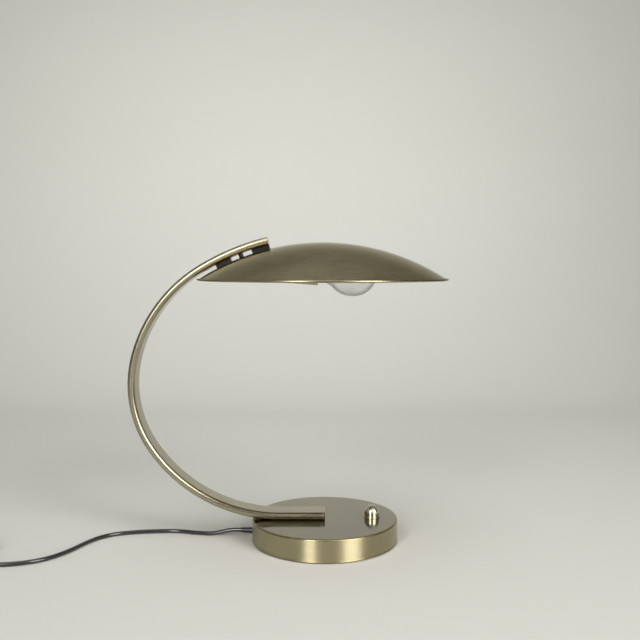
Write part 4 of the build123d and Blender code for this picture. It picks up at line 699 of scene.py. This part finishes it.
def knob():
    """Domed push button with a pocket for its spring."""
    crown = arc((0.0, KNOB_SHOULDER), KNOB_RADIUS, 0, 90, 24)
    side = [(KNOB_RADIUS - KNOB_EDGE, KNOB_FOOT), (KNOB_RADIUS, KNOB_FOOT + KNOB_EDGE)]
    side += [(KNOB_RADIUS, KNOB_SIDE_START + number) for number in range(9)]
    pocket = [
        (0.0, KNOB_POCKET_CEILING), (KNOB_POCKET_RADIUS, KNOB_POCKET_CEILING),
        (KNOB_POCKET_RADIUS, KNOB_FOOT),
    ]
    profile = side + crown + pocket

    def wear(row, column):
        return 0.35 if profile[row][1] < KNOB_WEAR_TOP else 0.0

    turned(
        "switch_knob_skin", profile, KNOB_STEPS, (SWITCH_X, 0, 0), (0, 0, 1), node="switch_knob", wear=wear,
        body="switch_button", slot="polished_metal", keys=("knob",),
    )


def bulb_outline(inset):
    """Globe, shoulder and neck of the bulb in (radius, height along its axis)."""
    radius = GLOBE_RADIUS - inset
    shoulder = math.degrees(math.asin(GLOBE_SHOULDER / GLOBE_RADIUS))
    front = arc((0.0, 0.0), radius, 90, 0, 40)
    back = arc((0.0, GLOBE_BACK), radius, 0, -shoulder, 24)
    start = back[-1]
    middle = (NECK_WAIST[0] - inset, NECK_WAIST[1])
    end = (NECK_FOOT[0] - inset, NECK_FOOT[1])
    flare = []
    flare_steps = 18
    for number in range(1, flare_steps + 1):
        t = number / flare_steps
        flare.append(tuple(
            a * (1 - t) * (1 - 2 * t) + b * 4 * t * (1 - t) + c * t * (2 * t - 1)
            for a, b, c in zip(start, middle, end)
        ))
    collar = NECK_COLLAR_RADIUS - inset
    return front + back + flare + [(collar, NECK_FOOT[1]), (collar, NECK_END)]


def bulb_glass():
    profile = bulb_outline(0.0) + bulb_outline(GLASS_THICKNESS)[::-1]
    turned(
        "bulb_glass_skin", profile, BULB_STEPS, GLOBE, LAMP_AXIS, node="bulb_glass", wear=unmarked,
        body="shade", slot="clear_glass", keys=("glass",),
    )


def spring():
    """Spring round the plunger, copied from the solid as a fixed piece; the real spring shortens by the
    knob's travel.
    """
    node = NODES["switch_spring"]
    data = node.data.copy()
    data.transform(node.matrix_world)
    piece = bpy.data.objects.new("switch_spring_coil", data)
    bpy.context.scene.collection.objects.link(piece)
    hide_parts("switch_spring")
    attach(piece, "stand")
    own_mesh(piece)


for build in (base_shell, arm_tube, shade_dome, knob, bulb_glass, spring):
    build()


# Cord, in millimetres
CORD_RADIUS = 2.75
CORD_ROUTE = [
    (-97.6, 8.54, 9.0), (-110.58, 9.67, 9.0), (-124.52, 10.89, 9.0), (-149.0, 12.3, 2.75),
    (-175.0, 17.6, 2.75), (-197.0, 24.6, 2.75), (-225.0, 23.6, 2.75), (-260.0, 18.6, 2.75),
    (-285.0, 8.4, 2.75), (-301.0, -9.0, 2.75), (-312.0, -33.0, 2.75), (-323.0, -60.0, 2.75),
    (-340.0, -84.0, 2.75), (-364.0, -98.5, 2.75), (-393.0, -104.0, 2.75), (-422.0, -105.0, 2.75),
    (-449.5, -105.0, 2.75),
]
COIL_CENTRE = Vector((-455.0, -62.6, CORD_RADIUS))
COIL_RADIUS, COIL_PITCH, COIL_TURNS = 42.4, 6.0, 6.25
COIL_STEPS = 16
# From the coil's last point into the plug: places along Y past the coil's centre, and heights
CORD_TAIL = [(0, 8.75), (11, 8.2), (22, 6.85), (28.5, 6.85)]


def coil_points():
    """Control points of the coil: in over one layer, up in the middle half turn, and out again."""
    points = []
    inner = math.cos(math.pi / COIL_STEPS) ** 2
    count = int(COIL_TURNS * COIL_STEPS)
    for number in range(1, count):
        turn = number / COIL_STEPS
        radius = (COIL_RADIUS - COIL_PITCH * min(turn, COIL_TURNS - turn)) / (0.5 + 0.5 * inner)
        angle = math.radians(-90 - 360 * turn)
        climb = min(max((turn - COIL_TURNS / 2) * 2 + 0.5, 0.0), 1.0)
        step = Vector((radius * math.cos(angle), radius * math.sin(angle), COIL_PITCH * climb))
        points.append(tuple(COIL_CENTRE + step))
    return points


def cord_curve(name, points):
    """A round curve that has the points in millimetres as its control points."""
    curve = bpy.data.curves.new(name, "CURVE")
    curve.dimensions = "3D"
    spline = curve.splines.new("NURBS")
    spline.points.add(len(points) - 1)
    for point, place in zip(spline.points, points):
        point.co = (*(value * MM for value in place), 1.0)
    spline.order_u = 3
    spline.use_endpoint_u = True
    spline.resolution_u = 10
    curve.bevel_depth = CORD_RADIUS * MM
    curve.bevel_resolution = 6
    curve.use_fill_caps = True
    curve.materials.append(materials["cord"])
    piece = bpy.data.objects.new(name, curve)
    bpy.context.scene.collection.objects.link(piece)
    return piece


last_x = COIL_CENTRE.x - COIL_RADIUS
tail = [(last_x, COIL_CENTRE.y + along, height) for along, height in CORD_TAIL]
cord = cord_curve("mains_cord", CORD_ROUTE + coil_points() + tail)
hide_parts("power_cord", "cord_coil")
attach(cord, "stand")


# Floor and backdrop, in metres
FLOOR_FRONT = -7.0
FLOOR_REACH = 0.95
WALL_BEND = 0.85
WALL_TOP = 2.4
STAGE_HALF_WIDTH = 9.0
BEND_STEPS, WALL_STEPS = 36, 8


def stage_material():
    """Pale matt sheet, with painted light that makes it a little paler where it turns up, and painted shade
    that makes it a little darker towards its top.
    """
    m = Nodes("pale_stage", roughness=0.9, specular=0.15)
    height = m.add("ShaderNodeSeparateXYZ")
    m.link(m.place(), height.inputs[0])
    floor, wall, upper = srgb(211, 211, 206), srgb(236, 236, 230), srgb(206, 206, 201)
    place = m.spread(height.outputs["Z"], 0.0, 1.0, 0.0, WALL_TOP)
    # Painted light and shade by height: paler where the floor turns up, darker towards the top
    m.color(m.ramp(place, [(0.0, floor), (0.4, wall), (1.0, upper)], "EASE"))
    return m.material


def backdrop():
    """Pale floor that curves up into a plain wall."""
    mesh = bmesh.new()
    profile = [(FLOOR_FRONT, 0.0)]
    for step in range(BEND_STEPS + 1):
        turn = math.pi / 2 * step / BEND_STEPS
        profile.append((FLOOR_REACH + WALL_BEND * math.sin(turn), WALL_BEND - WALL_BEND * math.cos(turn)))
    for step in range(1, WALL_STEPS + 1):
        profile.append((FLOOR_REACH + WALL_BEND, WALL_BEND + (WALL_TOP - WALL_BEND) * step / WALL_STEPS))
    rows = [
        [mesh.verts.new((side * STAGE_HALF_WIDTH, y, z)) for side in (-1, 1)] for y, z in profile
    ]
    for low, high in zip(rows, rows[1:]):
        mesh.faces.new((low[0], low[1], high[1], high[0])).smooth = True
    data = bpy.data.meshes.new("backdrop")
    mesh.to_mesh(data)
    mesh.free()
    piece = bpy.data.objects.new("backdrop", data)
    bpy.context.scene.collection.objects.link(piece)
    data.materials.append(stage_material())


backdrop()


# Light
def around(azimuth, distance, height):
    """A place in front of the lamp; azimuth is from the camera's side towards +X."""
    angle = math.radians(azimuth)
    return (distance * math.sin(angle), -distance * math.cos(angle), height)


def area_light(name, place, target, size, power, color=(1.0, 1.0, 1.0), spread=180):
    data = bpy.data.lights.new(name, "AREA")
    data.shape = "RECTANGLE"
    data.size, data.size_y = size
    data.energy = power
    data.color = color
    data.spread = math.radians(spread)
    lamp = bpy.data.objects.new(name, data)
    lamp.location = place
    lamp.rotation_euler = (Vector(target) - Vector(place)).to_track_quat("-Z", "Y").to_euler()
    bpy.context.scene.collection.objects.link(lamp)


LAMP_MIDDLE = (0, 0, 0.2)
WARM_DAY = (1.0, 0.985, 0.95)
WINDOW_DISTANCE, WINDOW_MIDDLE, WINDOW_HEIGHT, WINDOW_SPREAD = 2.2, 1.1, 2.0, 75
# Two tall soft windows, which give the base its two bands: name, azimuth, width and power
WINDOWS = [("window_left", -23, 0.62, 6.8), ("window_right", 42, 1.15, 12)]

for name, azimuth, width, power in WINDOWS:
    place = around(azimuth, WINDOW_DISTANCE, WINDOW_MIDDLE)
    area_light(name, place, LAMP_MIDDLE, (width, WINDOW_HEIGHT), power, WARM_DAY, WINDOW_SPREAD)
area_light("overhead", (0.0, -0.6, 2.6), LAMP_MIDDLE, (1.8, 1.4), 14)
area_light("backdrop_wash", (0.0, 0.75, 2.3), (0, 1.8, 0.2), (3.0, 0.4), 3.8, spread=90)

WORLD_BLUE_SHARE = 0.985
# Brightness of the surroundings by direction, from -1 to 1 along each axis; the three are multiplied
SURROUNDINGS = (
    ("X", [(-1.0, 1.3), (-0.2, 1.0), (0.8, 0.62)]),
    ("Z", [(-0.2, 0.2), (0.1, 0.26), (0.4, 0.42), (1.0, 0.4)]),
    ("Y", [(-1.0, 0.5), (0.0, 0.62), (0.45, 1.0)]),
)


def studio_world():
    """Soft surroundings: brighter above, behind and on the left, darker on the camera's side."""
    world = bpy.data.worlds.new("studio")
    bpy.context.scene.world = world
    world.use_nodes = True
    tree = world.node_tree
    direction = tree.nodes.new("ShaderNodeTexCoord")
    parts = tree.nodes.new("ShaderNodeSeparateXYZ")
    tree.links.new(direction.outputs["Generated"], parts.inputs[0])
    light = None
    for axis, stops in SURROUNDINGS:
        ramp = tree.nodes.new("ShaderNodeValToRGB")
        while len(ramp.color_ramp.elements) < len(stops):
            ramp.color_ramp.elements.new(0.5)
        for element, (position, level) in zip(ramp.color_ramp.elements, stops):
            element.position = position / 2 + 0.5
            element.color = (level, level, level * WORLD_BLUE_SHARE, 1)
        shift = tree.nodes.new("ShaderNodeMath")
        shift.operation = "MULTIPLY_ADD"
        shift.inputs[1].default_value = 0.5
        shift.inputs[2].default_value = 0.5
        tree.links.new(parts.outputs[axis], shift.inputs[0])
        tree.links.new(shift.outputs[0], ramp.inputs["Fac"])
        if light is None:
            light = ramp.outputs["Color"]
            continue
        product = tree.nodes.new("ShaderNodeVectorMath")
        product.operation = "MULTIPLY"
        tree.links.new(light, product.inputs[0])
        tree.links.new(ramp.outputs["Color"], product.inputs[1])
        light = product.outputs[0]
    tree.links.new(light, tree.nodes["Background"].inputs["Color"])


studio_world()

bpy.context.scene.view_settings.view_transform = "Standard"
